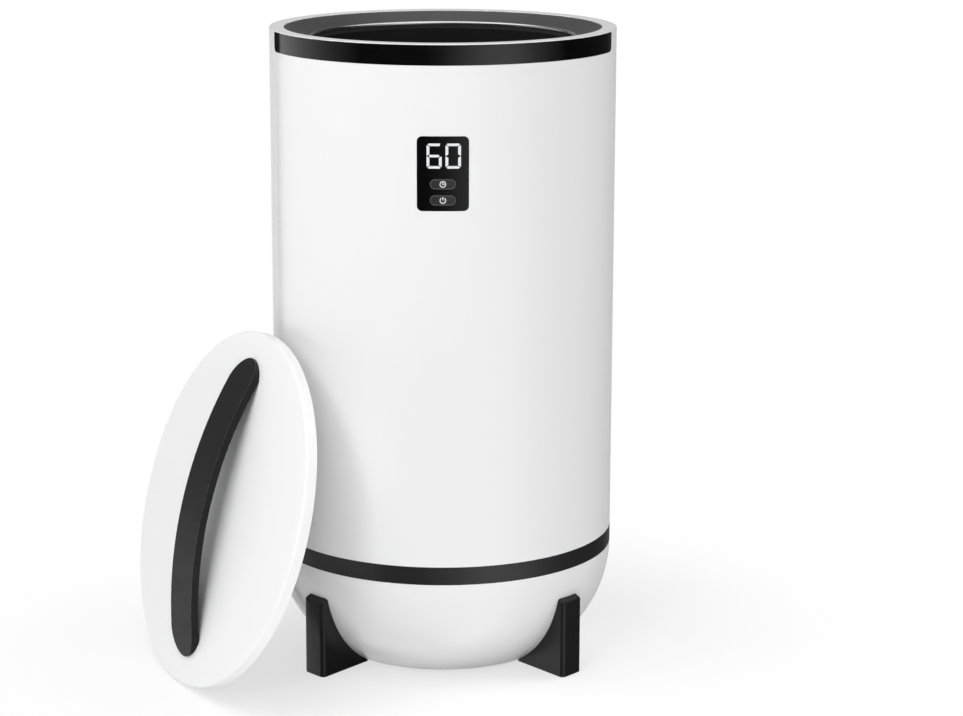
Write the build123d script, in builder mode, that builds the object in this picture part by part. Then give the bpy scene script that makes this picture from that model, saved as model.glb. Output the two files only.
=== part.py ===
"""Bucket towel warmer with its lift-off lid leaning against it.

Origin: on the bucket's axis, in the plane of the soles. +Z is up and the control panel faces -Y.
An azimuth is the angle round the axis, in degrees from the front (-Y) towards +X.
All sizes are in millimetres.
"""
from build123d import *
from math import cos, degrees, hypot, radians, sin, sqrt
import os

# ------------------------------------------------------------------ driving dimensions
body_radius = 155.0          # outside of the shell, lower band and bowl rim
body_height = 573.5          # top of the white lip
shell_wall = 3.0
seam = 0.15                  # gap between fixed pieces that sit side by side
running_gap = 0.3            # gap between pieces that move

lip_drop = 0.6               # height of the lip's outer edge
lip_inner_radius = 142.0
mouth_radius = 117.7         # inner edge of the sloped collar
mouth_height = 564.5

upper_band_bottom = 555.5
upper_band_half_angle = 72.5
upper_band_depth = 1.6
lower_band_bottom = 100.0
lower_band_top = 116.2

bowl_arc_radius = 113.0      # the bowl's side is one arc, upright at its rim
bowl_floor = 2.5
bowl_wall = 3.0

pot_radius = 116.0           # inside of the inner bucket
pot_wall = 1.2
pot_floor = 127.2
pot_flange_top = 559.2
pot_flange_radius = 128.0
pot_corner = 18.0

panel_width = 44.4
panel_height = 64.1
panel_centre = 464.0
panel_corner = 4.5
window_thickness = 2.0
button_width = 22.3
button_height = 9.0
timer_button_height = 455.1
power_button_height = 441.3
button_travel = 0.8
button_proud = 0.3

foot_azimuths = {"front_left": -48.2, "front_right": 48.2, "rear_right": 131.8, "rear_left": -131.8}
foot_outer_radius = 158.0
foot_outer_width = 23.5
foot_inner_width = 8.0
foot_shoulder = 68.0
sole_lift = 0.6              # how far the rubber soles stand below the feet

lid_radius = 160.2
lid_thickness = 10.0
lid_wall = 3.0
lid_edge_fillet = 2.0
lid_foot_fillet = 1.4
plug_radius = 115.0
plug_depth = 28.4
plug_fillet = 1.5
lid_azimuth = -62.45         # where the lid leans, seen from above
lid_lean = 16.72             # the disc's angle from upright

handle_length = 272.4
handle_width = 45.2
handle_thickness = 6.6
handle_rise = 25.8           # top of the strap above the lid
handle_tip = 1.5             # height of the strap's two ends
handle_span = 236.0          # where the strap's underside lifts off the lid
handle_turn = 3.5            # how far the strap is turned from the lid's steepest line

# ------------------------------------------------------------------ sizes worked out from them
shell_inner = body_radius - shell_wall
shell_top = body_height - lip_drop
pot_outer = pot_radius + pot_wall
bowl_centre_radius = body_radius - bowl_arc_radius
bowl_inner_arc = bowl_arc_radius - bowl_wall
window_back = body_radius - window_thickness

os.makedirs("parts", exist_ok=True)


# ------------------------------------------------------------------ helpers
def radial_plane(azimuth):
    """The upright plane through the bucket's axis at an azimuth: x is the radius, y is the height."""
    a = radians(azimuth)
    return Plane(origin=(0, 0, 0), x_dir=(sin(a), -cos(a), 0), z_dir=(-cos(a), -sin(a), 0))


def level_plane(azimuth, height=0.0):
    """A level plane whose x axis points outwards along an azimuth."""
    a = radians(azimuth)
    return Plane(origin=(0, 0, height), x_dir=(sin(a), -cos(a), 0), z_dir=(0, 0, 1))


def bowl_point(angle, radius=bowl_arc_radius):
    """Radius and height of the point on the bowl's arc that lies an angle below its rim."""
    a = radians(angle)
    return bowl_centre_radius + radius * cos(a), lower_band_bottom - radius * sin(a)


def bowl_radius_at(height, radius=bowl_arc_radius):
    """The bowl's radius at a height."""
    return bowl_centre_radius + sqrt(radius**2 - (lower_band_bottom - height) ** 2)


def bowl_normal_plane(azimuth, angle):
    """The plane that touches the bowl from outside, its normal pointing outwards."""
    a, b = radians(azimuth), radians(angle)
    r, z = bowl_point(angle)
    return Plane(
        origin=(r * sin(a), -r * cos(a), z),
        x_dir=(cos(a), sin(a), 0),
        z_dir=(cos(b) * sin(a), -cos(b) * cos(a), -sin(b)),
    )


def turned(points):
    """A ring or disc turned about the bucket's axis from a closed outline of (radius, height)."""
    with BuildPart() as ring:
        with BuildSketch(Plane.XZ):
            with BuildLine():
                Polyline(*points, close=True)
            make_face()
        revolve(axis=Axis.Z)
    return ring.part


def save(piece, name):
    """Label a finished piece and write its STEP file."""
    piece.label = name
    export_step(piece, f"parts/{name}.step")


# ------------------------------------------------------------------ upper band: black inlay round the front
def band_sector(gap):
    """The curved strip below the lip with rounded lower corners, smaller all round by a gap."""
    inner = body_radius - upper_band_depth
    turn = degrees(gap / body_radius)
    with BuildPart() as strip:
        with BuildSketch(radial_plane(turn - upper_band_half_angle)):
            with Locations(((inner + body_radius + 1) / 2, (upper_band_bottom + shell_top) / 2)):
                Rectangle(body_radius + 1 - inner, shell_top - upper_band_bottom - 2 * gap)
        revolve(axis=Axis.Z, revolution_arc=2 * (upper_band_half_angle - turn))
        corners = strip.edges().filter_by(GeomType.LINE).filter_by(Axis.Z, reverse=True)
        fillet(corners.group_by(Axis.Z)[0], radius=5 - gap)
    return strip.part


upper_band_recess = band_sector(0)

with BuildPart() as upper_band:
    add(band_sector(seam))
    with Locations((0, 0, body_height)):
        Cylinder(body_radius, 60, mode=Mode.INTERSECT)
save(upper_band.part, "upper_band")

# ------------------------------------------------------------------ outer shell
ledge_height = 546.0
ledge_reach = 3.0
window_opening = (38.0, 58.0)

with BuildPart() as window_recess:
    with BuildSketch(Plane.XZ.offset(body_radius - 15)):
        with Locations((0, panel_centre)):
            RectangleRounded(panel_width, panel_height, panel_corner)
    extrude(amount=20)
    with Locations((0, 0, panel_centre)):
        Cylinder(window_back, 2 * panel_height, mode=Mode.SUBTRACT)

with BuildPart() as outer_shell:
    with BuildSketch(Plane.XZ):
        with BuildLine():
            Polyline(
                (shell_inner, lower_band_top),
                (body_radius, lower_band_top),
                (body_radius, shell_top),
                (shell_inner, shell_top),
                (shell_inner, ledge_height),
                (shell_inner - ledge_reach, ledge_height),
                (shell_inner - ledge_reach, ledge_height - 3),
                (shell_inner, ledge_height - 8),
                close=True,
            )
        make_face()
    revolve(axis=Axis.Z)
    add(upper_band_recess, mode=Mode.SUBTRACT)
    add(window_recess.part, mode=Mode.SUBTRACT)
    with BuildSketch(Plane.XZ.offset(body_radius - 15)):
        with Locations((0, panel_centre)):
            RectangleRounded(*window_opening, 2)
    extrude(amount=20, mode=Mode.SUBTRACT)
save(outer_shell.part, "outer_shell")

# ------------------------------------------------------------------ white lip
with BuildPart() as rim_ring:
    with BuildSketch(Plane.XZ):
        with BuildLine():
            Polyline(
                (lip_inner_radius, 562),
                (lip_inner_radius + 2, 562),
                (lip_inner_radius + 2, 570.5),
                (shell_inner - 2.4, 570.5),
                (shell_inner - 2.4, 566.5),
                (shell_inner - 0.2, 566.5),
                (shell_inner - 0.2, shell_top),
                (body_radius, shell_top),
                (body_radius, body_height),
                (lip_inner_radius, body_height),
                close=True,
            )
        make_face()
    revolve(axis=Axis.Z)
    top_edges = rim_ring.edges().filter_by(GeomType.CIRCLE).group_by(Axis.Z)[-1].sort_by(SortBy.RADIUS)
    fillet(top_edges[-1], radius=0.55)
    top_edges = rim_ring.edges().filter_by(GeomType.CIRCLE).group_by(Axis.Z)[-1].sort_by(SortBy.RADIUS)
    fillet(top_edges[0], radius=0.4)
save(rim_ring.part, "rim_ring")

# ------------------------------------------------------------------ sloped collar round the mouth
collar_outer = lip_inner_radius - 0.2
collar_wall = 2.3
collar_skirt_bottom = 556.2

with BuildPart() as collar:
    with BuildSketch(Plane.XZ) as collar_outline:
        with BuildLine():
            Polyline(
                (collar_outer, collar_skirt_bottom),
                (collar_outer, 572.8),
                (mouth_radius, mouth_height),
                (mouth_radius, 561),
                (mouth_radius + collar_wall, 561),
                (mouth_radius + collar_wall, mouth_height - 1.6),
                (collar_outer - collar_wall, 570.2),
                (collar_outer - collar_wall, collar_skirt_bottom),
                close=True,
            )
        make_face()
        mouth_corner = collar_outline.vertices().group_by(Axis.X)[0].sort_by(Axis.Y)[-1]
        fillet(mouth_corner, radius=2.2)
    revolve(axis=Axis.Z)
save(collar.part, "collar")

# ------------------------------------------------------------------ inner bucket and what carries it
with BuildPart() as inner_bucket:
    with BuildSketch(Plane.XZ) as pot_outline:
        with BuildLine():
            Polyline(
                (0, pot_floor),
                (pot_radius, pot_floor),
                (pot_radius, pot_flange_top),
                (pot_flange_radius, pot_flange_top),
                (pot_flange_radius, pot_flange_top - pot_wall),
                (pot_outer, pot_flange_top - pot_wall),
                (pot_outer, pot_floor - pot_wall),
                (0, pot_floor - pot_wall),
                close=True,
            )
        make_face()
        corners = pot_outline.vertices()
        inside = corners.filter_by(lambda v: abs(v.X - pot_radius) < 0.01).sort_by(Axis.Y)
        outside = corners.filter_by(lambda v: abs(v.X - pot_outer) < 0.01).sort_by(Axis.Y)
        fillet(inside[0], radius=pot_corner)
        fillet(outside[0], radius=pot_corner + pot_wall)
        fillet(inside[-1], radius=1.0)
    revolve(axis=Axis.Z)
save(inner_bucket.part, "inner_bucket")

with BuildPart() as bucket_gasket:
    with BuildSketch(Plane.XZ):
        with Locations((mouth_radius + 2.3, (pot_flange_top + 561) / 2)):
            Rectangle(4.4, 561 - pot_flange_top)
    revolve(axis=Axis.Z)
save(bucket_gasket.part, "bucket_gasket")

support_ribs = 12
support_inner = pot_outer + 2.8
support_outer = shell_inner - 0.2

with BuildPart() as pot_support:
    with BuildSketch(Plane.XZ):
        with BuildLine():
            Polyline(
                (support_inner, ledge_height),
                (support_outer, ledge_height),
                (support_outer, 566),
                (support_outer - 2.3, 566),
                (support_outer - 2.3, ledge_height + 3),
                (support_inner + 2.5, ledge_height + 3),
                (support_inner + 2.5, pot_flange_top - pot_wall),
                (support_inner, pot_flange_top - pot_wall),
                close=True,
            )
        make_face()
    revolve(axis=Axis.Z)
    for rib in range(support_ribs):
        with BuildSketch(level_plane(rib * 360 / support_ribs, ledge_height + 2)):
            with Locations(((support_inner + support_outer) / 2, 0)):
                Rectangle(support_outer - support_inner - 3, 2.4)
        extrude(amount=8)
save(pot_support.part, "pot_support")

# ------------------------------------------------------------------ heating and insulation round the pot
heater_gap_azimuth = 200.0   # where the film's and the straps' ends nearly meet
heater_lead_reach = 121.6
film_bottom = 150.0
film_top = 400.0
film_thickness = 1.5
strap_heights = (190.0, 360.0)
strap_height = 12.0
strap_inner = pot_outer + film_thickness + 0.05

with BuildPart() as heater_film:
    with BuildSketch(radial_plane(heater_gap_azimuth + 6)):
        with Locations((pot_outer + film_thickness / 2, (film_bottom + film_top) / 2)):
            Rectangle(film_thickness, film_top - film_bottom)
    revolve(axis=Axis.Z, revolution_arc=348)
    with BuildSketch(level_plane(180, film_bottom)):
        with Locations((heater_lead_reach, 0)):
            Rectangle(9, 14)
    extrude(amount=11)
    with Locations((0, 0, film_bottom + 5)):
        Cylinder(pot_outer, 20, mode=Mode.SUBTRACT)
save(heater_film.part, "heater_film")

with BuildPart() as heater_straps:
    for height in strap_heights:
        with BuildSketch(radial_plane(heater_gap_azimuth + 4)):
            with Locations((strap_inner + 0.4, height)):
                Rectangle(0.8, strap_height)
        revolve(axis=Axis.Z, revolution_arc=352)
save(heater_straps.part, "heater_straps")

with BuildPart() as insulation_wrap:
    with BuildSketch(Plane.XZ):
        with Locations((strap_inner + 4.0, 352)):
            RectangleRounded(6, 372, 1.5)
    revolve(axis=Axis.Z)
save(insulation_wrap.part, "insulation_wrap")

pot_underside = pot_floor - pot_wall

with BuildPart() as thermostat:
    with BuildSketch(Plane.XY.offset(pot_underside)):
        with Locations((0, 34)):
            Circle(11)
    extrude(amount=-1.5)
    with BuildSketch(Plane.XY.offset(pot_underside - 1.5)):
        with Locations((0, 34)):
            Circle(8)
    extrude(amount=-8)
    with BuildSketch(Plane.XY.offset(pot_underside - 9.5)):
        with Locations((-4, 34), (4, 34)):
            Rectangle(0.8, 6.3)
    extrude(amount=-5)
save(thermostat.part, "thermostat")

with BuildPart() as thermal_fuse:
    with BuildSketch(Plane.YZ.offset(-8)):
        with Locations((-34, pot_underside - 2.2)):
            Circle(2)
    extrude(amount=16)
    fillet(thermal_fuse.edges(), radius=0.6)
save(thermal_fuse.part, "thermal_fuse")

with BuildPart() as fuse_clip:
    with BuildSketch(Plane.YZ.offset(-3)):
        with BuildLine():
            Polyline(
                (-48, pot_underside),
                (-36.6, pot_underside),
                (-36.6, pot_underside - 4.6),
                (-31.4, pot_underside - 4.6),
                (-31.4, pot_underside - 0.8),
                (-30.8, pot_underside - 0.8),
                (-30.8, pot_underside - 5.2),
                (-37.4, pot_underside - 5.2),
                (-37.4, pot_underside - 0.8),
                (-48, pot_underside - 0.8),
                close=True,
            )
        make_face()
    extrude(amount=6)
save(fuse_clip.part, "fuse_clip")

# ------------------------------------------------------------------ lower band and heat shield
shield_ledge = 104.5
panel_lead_reach = 133.0

save(
    turned(
        [
            (144, shield_ledge - 2.5),
            (149.4, shield_ledge - 2.5),
            (149.4, 95.5),
            (151.5, 95.5),
            (151.5, lower_band_bottom),
            (body_radius, lower_band_bottom),
            (body_radius, lower_band_top),
            (shell_inner - 0.2, lower_band_top),
            (shell_inner - 0.2, lower_band_top + 5.5),
            (shell_inner - 2.2, lower_band_top + 5.5),
            (shell_inner - 2.2, shield_ledge),
            (144, shield_ledge),
        ]
    ),
    "lower_band",
)

with BuildPart() as heat_shield:
    with BuildSketch(Plane.XY.offset(shield_ledge)):
        Circle(149.4)
    extrude(amount=0.8)
    with BuildSketch(Plane.XY.offset(shield_ledge)):
        Circle(149.4)
        Circle(148.6, mode=Mode.SUBTRACT)
    extrude(amount=8)
    with BuildSketch(Plane.XY.offset(shield_ledge)):
        with PolarLocations(100, 12, start_angle=15):
            SlotOverall(24, 5)
        with Locations((0, -panel_lead_reach), (0, heater_lead_reach)):
            Circle(6)
    extrude(amount=0.8, mode=Mode.SUBTRACT)
save(heat_shield.part, "heat_shield")

# ------------------------------------------------------------------ feet, soles and their screws
foot_inner_radius = 98.0
foot_top_angle = 14.5
foot_screw_angles = (30.0, 50.0)
pilot_radius = 1.7
sole_length = 44.0
sole_width = 6.0
sole_centre = 130.0
sole_thickness = 2.0


with BuildPart() as bowl_form:
    with BuildSketch(Plane.XZ):
        with BuildLine():
            Line((0, lower_band_bottom + 1), (0, -5))
            Line((0, -5), bowl_point(75))
            ThreePointArc(bowl_point(75), bowl_point(38), bowl_point(0))
            Line(bowl_point(0), (body_radius, lower_band_bottom + 1))
            Line((body_radius, lower_band_bottom + 1), (0, lower_band_bottom + 1))
        make_face()
    revolve(axis=Axis.Z)


def make_foot(azimuth):
    """A fin that hugs the bowl, thick at its outer end and thin under the bowl."""
    top_radius, top_height = bowl_point(foot_top_angle)
    with BuildPart() as foot:
        with BuildSketch(radial_plane(azimuth)):
            with BuildLine():
                Polyline(
                    (foot_inner_radius, sole_lift),
                    (foot_outer_radius + 2, sole_lift),
                    (foot_outer_radius + 2, foot_shoulder),
                    (foot_outer_radius, foot_shoulder),
                    (top_radius - 4, top_height + 1.7),
                    (foot_inner_radius, top_height + 1.7),
                    close=True,
                )
            make_face()
        extrude(amount=foot_outer_width, both=True)
        with BuildSketch(level_plane(azimuth)):
            with BuildLine():
                Polyline(
                    (foot_inner_radius, -foot_inner_width / 2),
                    (foot_outer_radius + 2, -foot_outer_width / 2),
                    (foot_outer_radius + 2, foot_outer_width / 2),
                    (foot_inner_radius, foot_inner_width / 2),
                    close=True,
                )
            make_face()
        extrude(amount=80, mode=Mode.INTERSECT)
        Cylinder(foot_outer_radius, 200, mode=Mode.INTERSECT)
        upright = foot.edges().filter_by(Axis.Z).sort_by(lambda e: hypot(e.center().X, e.center().Y))
        fillet(upright[-2:], radius=3.5)
        add(bowl_form.part, mode=Mode.SUBTRACT)
        top_rim = foot.edges().filter_by(
            lambda e: hypot(e.center().X, e.center().Y) > foot_outer_radius - 4
            and foot_shoulder - 0.5 < e.center().Z < foot_shoulder + 1.5
        )
        fillet(top_rim, radius=2)
        with BuildSketch(level_plane(azimuth, sole_lift)):
            with Locations((sole_centre, 0)):
                SlotOverall(sole_length + 0.2, sole_width + 0.2)
        extrude(amount=sole_thickness - sole_lift, mode=Mode.SUBTRACT)
        for angle in foot_screw_angles:
            with BuildSketch(bowl_normal_plane(azimuth, angle).offset(-3)):
                Circle(pilot_radius)
            extrude(amount=15, mode=Mode.SUBTRACT)
    return foot.part


for place, azimuth in foot_azimuths.items():
    save(make_foot(azimuth), f"foot_{place}")

with BuildPart() as foot_soles:
    for azimuth in foot_azimuths.values():
        with BuildSketch(level_plane(azimuth)):
            with Locations((sole_centre, 0)):
                SlotOverall(sole_length, sole_width)
        extrude(amount=sole_thickness)
save(foot_soles.part, "foot_soles")

with BuildPart() as foot_screws:
    for azimuth in foot_azimuths.values():
        for angle in foot_screw_angles:
            seat = bowl_normal_plane(azimuth, angle).offset(-bowl_wall - 0.05)
            with BuildSketch(seat):
                Circle(3.2)
            extrude(amount=-2.2)
            with BuildSketch(seat):
                Circle(pilot_radius - 0.05)
            extrude(amount=bowl_wall + 11)
save(foot_screws.part, "foot_screws")

# ------------------------------------------------------------------ bowl base
bowl_foot_radius = bowl_radius_at(bowl_floor)
cover_radius = 84.0
cover_thickness = 2.0
cover_screw_circle = 80.0
cover_flange_top = bowl_floor + cover_thickness + 3.2
gland_angle = 21.0

with BuildPart() as base_bowl:
    with BuildSketch(Plane.XZ):
        with BuildLine():
            ThreePointArc((body_radius, lower_band_bottom), bowl_point(33), (bowl_foot_radius, bowl_floor))
            Polyline(
                (bowl_foot_radius, bowl_floor),
                (cover_radius + 0.3, bowl_floor),
                (cover_radius + 0.3, bowl_floor + cover_thickness + 0.1),
                (74, bowl_floor + cover_thickness + 0.1),
                (74, cover_flange_top),
                (bowl_radius_at(cover_flange_top, bowl_inner_arc), cover_flange_top),
            )
            ThreePointArc(
                (bowl_radius_at(cover_flange_top, bowl_inner_arc), cover_flange_top),
                bowl_point(33, bowl_inner_arc),
                (shell_inner, lower_band_bottom),
            )
            Line((shell_inner, lower_band_bottom), (body_radius, lower_band_bottom))
        make_face()
    revolve(axis=Axis.Z)
    for azimuth in foot_azimuths.values():
        for angle in foot_screw_angles:
            with BuildSketch(bowl_normal_plane(azimuth, angle).offset(-bowl_wall - 3)):
                Circle(pilot_radius + 0.2)
            extrude(amount=bowl_wall + 3, mode=Mode.SUBTRACT)
    with BuildSketch(Plane.XY.offset(bowl_floor)):
        with PolarLocations(cover_screw_circle, 6, start_angle=30):
            Circle(1.5)
    extrude(amount=8, mode=Mode.SUBTRACT)
    with BuildSketch(bowl_normal_plane(180, gland_angle).offset(3)):
        Circle(7.1)
    extrude(amount=-12, mode=Mode.SUBTRACT)
save(base_bowl.part, "base_bowl")

post_places = [(-38, -24), (38, -24), (-38, 24), (38, 24)]
board_height = 38.0

with BuildPart() as base_cover:
    with BuildSketch(Plane.XY.offset(bowl_floor)):
        Circle(cover_radius)
        with PolarLocations(cover_screw_circle, 6, start_angle=30):
            Circle(1.7, mode=Mode.SUBTRACT)
        for row in range(5):
            for side in (-1, 1):
                with Locations((side * 55, -20 + row * 10)):
                    SlotOverall(22, 3, mode=Mode.SUBTRACT)
    extrude(amount=cover_thickness)
    with BuildSketch(Plane.XY.offset(bowl_floor + cover_thickness)):
        with Locations(*post_places):
            Circle(4)
    extrude(amount=board_height - bowl_floor - cover_thickness)
    with BuildSketch(Plane.XY.offset(board_height - 12)):
        with Locations(*post_places):
            Circle(1.35)
    extrude(amount=12, mode=Mode.SUBTRACT)
save(base_cover.part, "base_cover")

with BuildPart() as cover_screws:
    with BuildSketch(Plane.XY.offset(bowl_floor - 1.6)):
        with PolarLocations(cover_screw_circle, 6, start_angle=30):
            Circle(3)
    extrude(amount=1.6)
    with BuildSketch(Plane.XY.offset(bowl_floor)):
        with PolarLocations(cover_screw_circle, 6, start_angle=30):
            Circle(1.45)
    extrude(amount=7)
save(cover_screws.part, "cover_screws")

# ------------------------------------------------------------------ power board in the base
board_thickness = 1.6

with BuildPart() as power_board:
    with BuildSketch(Plane.XY.offset(board_height)):
        Rectangle(90, 62)
        with Locations(*post_places):
            Circle(1.6, mode=Mode.SUBTRACT)
    extrude(amount=board_thickness)
    with BuildSketch(Plane.XY.offset(board_height + board_thickness)):
        with Locations((0, -22)):
            Rectangle(14, 10)
        with Locations((0, 22)):
            Rectangle(20, 10)
    extrude(amount=14)
    with BuildSketch(Plane.XY.offset(board_height + board_thickness)):
        with Locations((-22, 2)):
            Rectangle(20, 16)
    extrude(amount=17)
    with BuildSketch(Plane.XY.offset(board_height + board_thickness)):
        with Locations((14, 0)):
            Circle(6)
        with Locations((30, 2)):
            Circle(5)
    extrude(amount=15)
save(power_board.part, "power_board")

with BuildPart() as power_board_screws:
    with BuildSketch(Plane.XY.offset(board_height + board_thickness)):
        with Locations(*post_places):
            Circle(2.8)
    extrude(amount=2)
    with BuildSketch(Plane.XY.offset(board_height + board_thickness)):
        with Locations(*post_places):
            Circle(1.3)
    extrude(amount=-11)
save(power_board_screws.part, "power_board_screws")

# ------------------------------------------------------------------ cord gland at the back
gland_bore = 3.6
gland_plane = bowl_normal_plane(180, gland_angle)

with BuildPart() as cord_gland:
    with BuildSketch(gland_plane.offset(-0.15)):
        Circle(10)
    extrude(amount=3)
    fillet(cord_gland.edges().sort_by(Axis.Y)[-1], radius=1.2)
    with BuildSketch(gland_plane.offset(-0.15)):
        Circle(7)
    extrude(amount=-9)
    with BuildSketch(gland_plane.offset(-bowl_wall - 0.65)):
        RegularPolygon(10.5, 6)
    extrude(amount=-4)
    with BuildSketch(gland_plane.offset(3)):
        Circle(gland_bore)
    extrude(amount=-14, mode=Mode.SUBTRACT)
save(cord_gland.part, "cord_gland")

# ------------------------------------------------------------------ control panel
window_gap = 0.25


def pill(heights, width, height, mode=Mode.ADD):
    """Pill outlines at the buttons' heights, on a plane that faces the front."""
    with Locations(*[(0, z) for z in heights]):
        SlotOverall(width, height, mode=mode)


button_heights = (timer_button_height, power_button_height)

with BuildPart() as panel_window:
    with BuildSketch(Plane.XZ.offset(body_radius - 15)):
        with Locations((0, panel_centre)):
            RectangleRounded(panel_width - 2 * seam, panel_height - 2 * seam, panel_corner - seam)
        pill(button_heights, button_width + 2 * window_gap, button_height + 2 * window_gap, Mode.SUBTRACT)
    extrude(amount=20)
    with Locations((0, 0, panel_centre)):
        Cylinder(body_radius, 2 * panel_height, mode=Mode.INTERSECT)
        Cylinder(window_back + 0.05, 2 * panel_height, mode=Mode.SUBTRACT)
save(panel_window.part, "panel_window")

board_face = 138.0            # front of the control board, as a distance from the axis
switch_top = 148.6
stem_tip = switch_top + button_travel + 0.2
flange_back = 150.7
flange_front = 152.2


def make_button(height):
    """A pill cap that fills its hole in the window, with a flange and a stem behind it."""
    with BuildPart() as button:
        with BuildSketch(Plane.XZ.offset(flange_back)):
            with Locations((0, height)):
                SlotOverall(button_width, button_height)
        extrude(amount=10)
        with Locations((0, 0, height)):
            Cylinder(body_radius + button_proud, 40, mode=Mode.INTERSECT)
        front = button.faces().filter_by(GeomType.CYLINDER).sort_by(Axis.Y)[0]
        fillet(front.edges(), radius=0.4)
        with BuildSketch(Plane.XZ.offset(flange_back)):
            with Locations((0, height)):
                SlotOverall(button_width + 2.4, button_height + 2.4)
        extrude(amount=flange_front - flange_back)
        with BuildSketch(Plane.XZ.offset(stem_tip)):
            with Locations((0, height)):
                Circle(2)
        extrude(amount=flange_back - stem_tip)
    return button.part


save(make_button(timer_button_height), "timer_button")
save(make_button(power_button_height), "power_button")

carrier_outer = (51.0, 71.0)
carrier_inner = (45.0, 65.0)
board_screw_grid = (47.8, 67.8)

with BuildPart() as panel_carrier:
    with BuildSketch(Plane.XZ.offset(board_face)):
        with Locations((0, panel_centre)):
            RectangleRounded(*carrier_outer, 3)
            RectangleRounded(*carrier_inner, 2, mode=Mode.SUBTRACT)
            with GridLocations(*board_screw_grid, 2, 2):
                Circle(3.2)
    extrude(amount=20)
    with Locations((0, 0, panel_centre)):
        Cylinder(shell_inner - 0.2, 100, mode=Mode.INTERSECT)
    with BuildSketch(Plane.XZ.offset(board_face)):
        with Locations((0, panel_centre)):
            with GridLocations(*board_screw_grid, 2, 2):
                Circle(1.15)
    extrude(amount=9, mode=Mode.SUBTRACT)
save(panel_carrier.part, "panel_carrier")

with BuildPart() as control_board:
    with BuildSketch(Plane.XZ.offset(board_face)):
        with Locations((0, panel_centre)):
            Rectangle(54, 74)
            with GridLocations(*board_screw_grid, 2, 2):
                Circle(1.35, mode=Mode.SUBTRACT)
    extrude(amount=-board_thickness)
    with BuildSketch(Plane.XZ.offset(board_face - board_thickness)):
        with Locations((0, panel_centre + 14)):
            Rectangle(10, 10)
        with Locations((-14, panel_centre + 2)):
            Rectangle(7, 5)
    extrude(amount=-1.4)
    with BuildSketch(Plane.XZ.offset(board_face - board_thickness)):
        with Locations((0, panel_centre - 24)):
            Rectangle(12, 6)
    extrude(amount=-6)
save(control_board.part, "control_board")

with BuildPart() as board_screws:
    with BuildSketch(Plane.XZ.offset(board_face - board_thickness)):
        with Locations((0, panel_centre)):
            with GridLocations(*board_screw_grid, 2, 2):
                Circle(2.3)
    extrude(amount=-1.8)
    with BuildSketch(Plane.XZ.offset(board_face - board_thickness)):
        with Locations((0, panel_centre)):
            with GridLocations(*board_screw_grid, 2, 2):
                Circle(1.1)
    extrude(amount=9)
save(board_screws.part, "board_screws")

with BuildPart() as digit_display:
    with BuildSketch(Plane.XZ.offset(board_face)):
        with Locations((0, 479.2)):
            Rectangle(37.5, 25.4)
    extrude(amount=11.5)
    chamfer(digit_display.faces().sort_by(Axis.Y)[0].edges(), length=0.5)
save(digit_display.part, "digit_display")

with BuildPart() as tact_switches:
    for height in button_heights:
        with BuildSketch(Plane.XZ.offset(board_face)):
            with Locations((0, height)):
                Rectangle(6, 6)
        extrude(amount=3.5)
        with BuildSketch(Plane.XZ.offset(board_face + 3.5)):
            with Locations((0, height)):
                Circle(1.7)
        extrude(amount=switch_top - board_face - 3.5)
save(tact_switches.part, "tact_switches")

# ------------------------------------------------------------------ leads held inside
lead_radius = 2.0


def make_lead(points, bend):
    """A round lead along straight runs joined by one arc radius."""
    with BuildPart() as lead:
        with BuildLine() as route:
            FilletPolyline(*points, radius=bend)
        with BuildSketch(route.line ^ 0):
            Circle(lead_radius)
        sweep()
    return lead.part


connector_face = 27.0         # the power board's connectors, as a distance from the axis
connector_height = 48.0
panel_lead_route = [
    (0, -panel_lead_reach, panel_centre - 27),
    (0, -panel_lead_reach, connector_height),
    (0, -connector_face, connector_height),
]
save(make_lead(panel_lead_route, 40), "panel_lead")
heater_lead_route = [
    (0, heater_lead_reach, film_bottom),
    (0, heater_lead_reach, connector_height),
    (0, connector_face, connector_height),
]
save(make_lead(heater_lead_route, 40), "heater_lead")

# ------------------------------------------------------------------ lid: where it leans
lean = radians(lid_lean)
side = radians(lid_azimuth)
outwards = Vector(sin(side), -cos(side), 0)
lid_normal = outwards * cos(lean) + Vector(0, 0, sin(lean))
lid_up = outwards * -sin(lean) + Vector(0, 0, cos(lean))
lid_across = lid_up.cross(lid_normal)
reach = body_radius + running_gap + plug_fillet
lid_centre_radius = reach + (plug_radius - plug_fillet) * sin(lean) + (plug_depth - plug_fillet) * cos(lean)
lid_centre_height = (
    running_gap + lid_foot_fillet + (lid_radius - lid_foot_fillet) * cos(lean) - lid_foot_fillet * sin(lean)
)
lid_centre = outwards * lid_centre_radius + Vector(0, 0, lid_centre_height)

lid_plane = Plane(origin=lid_centre, x_dir=lid_across, z_dir=lid_normal)
lid_section = Plane(origin=lid_centre, x_dir=lid_across, z_dir=lid_across.cross(lid_normal))
lid_axis = Axis(lid_centre, lid_normal)


def turned_on_lid(points):
    """A ring or disc turned about the lid's axis from a closed outline of (radius, height)."""
    with BuildPart() as ring:
        with BuildSketch(lid_section):
            with BuildLine():
                Polyline(*points, close=True)
            make_face()
        revolve(axis=lid_axis)
    return ring.part


# ------------------------------------------------------------------ lid: top, underside, plug, seal, foam
lid_deck = lid_thickness - lid_wall
underside_plate = 2.4
underside_screw_circle = 136.0
plug_wall = 2.4
plug_flange_radius = 104.0
plug_screw_circle = 108.6
boss_radius = 3.4
handle_screw_reach = 123.0
handle_axis = lid_up * cos(radians(handle_turn)) - lid_across * sin(radians(handle_turn))
handle_plane = Plane(origin=lid_centre, x_dir=handle_axis, z_dir=lid_normal)
handle_profile = Plane(origin=lid_centre, x_dir=handle_axis, z_dir=handle_axis.cross(lid_normal))

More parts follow.
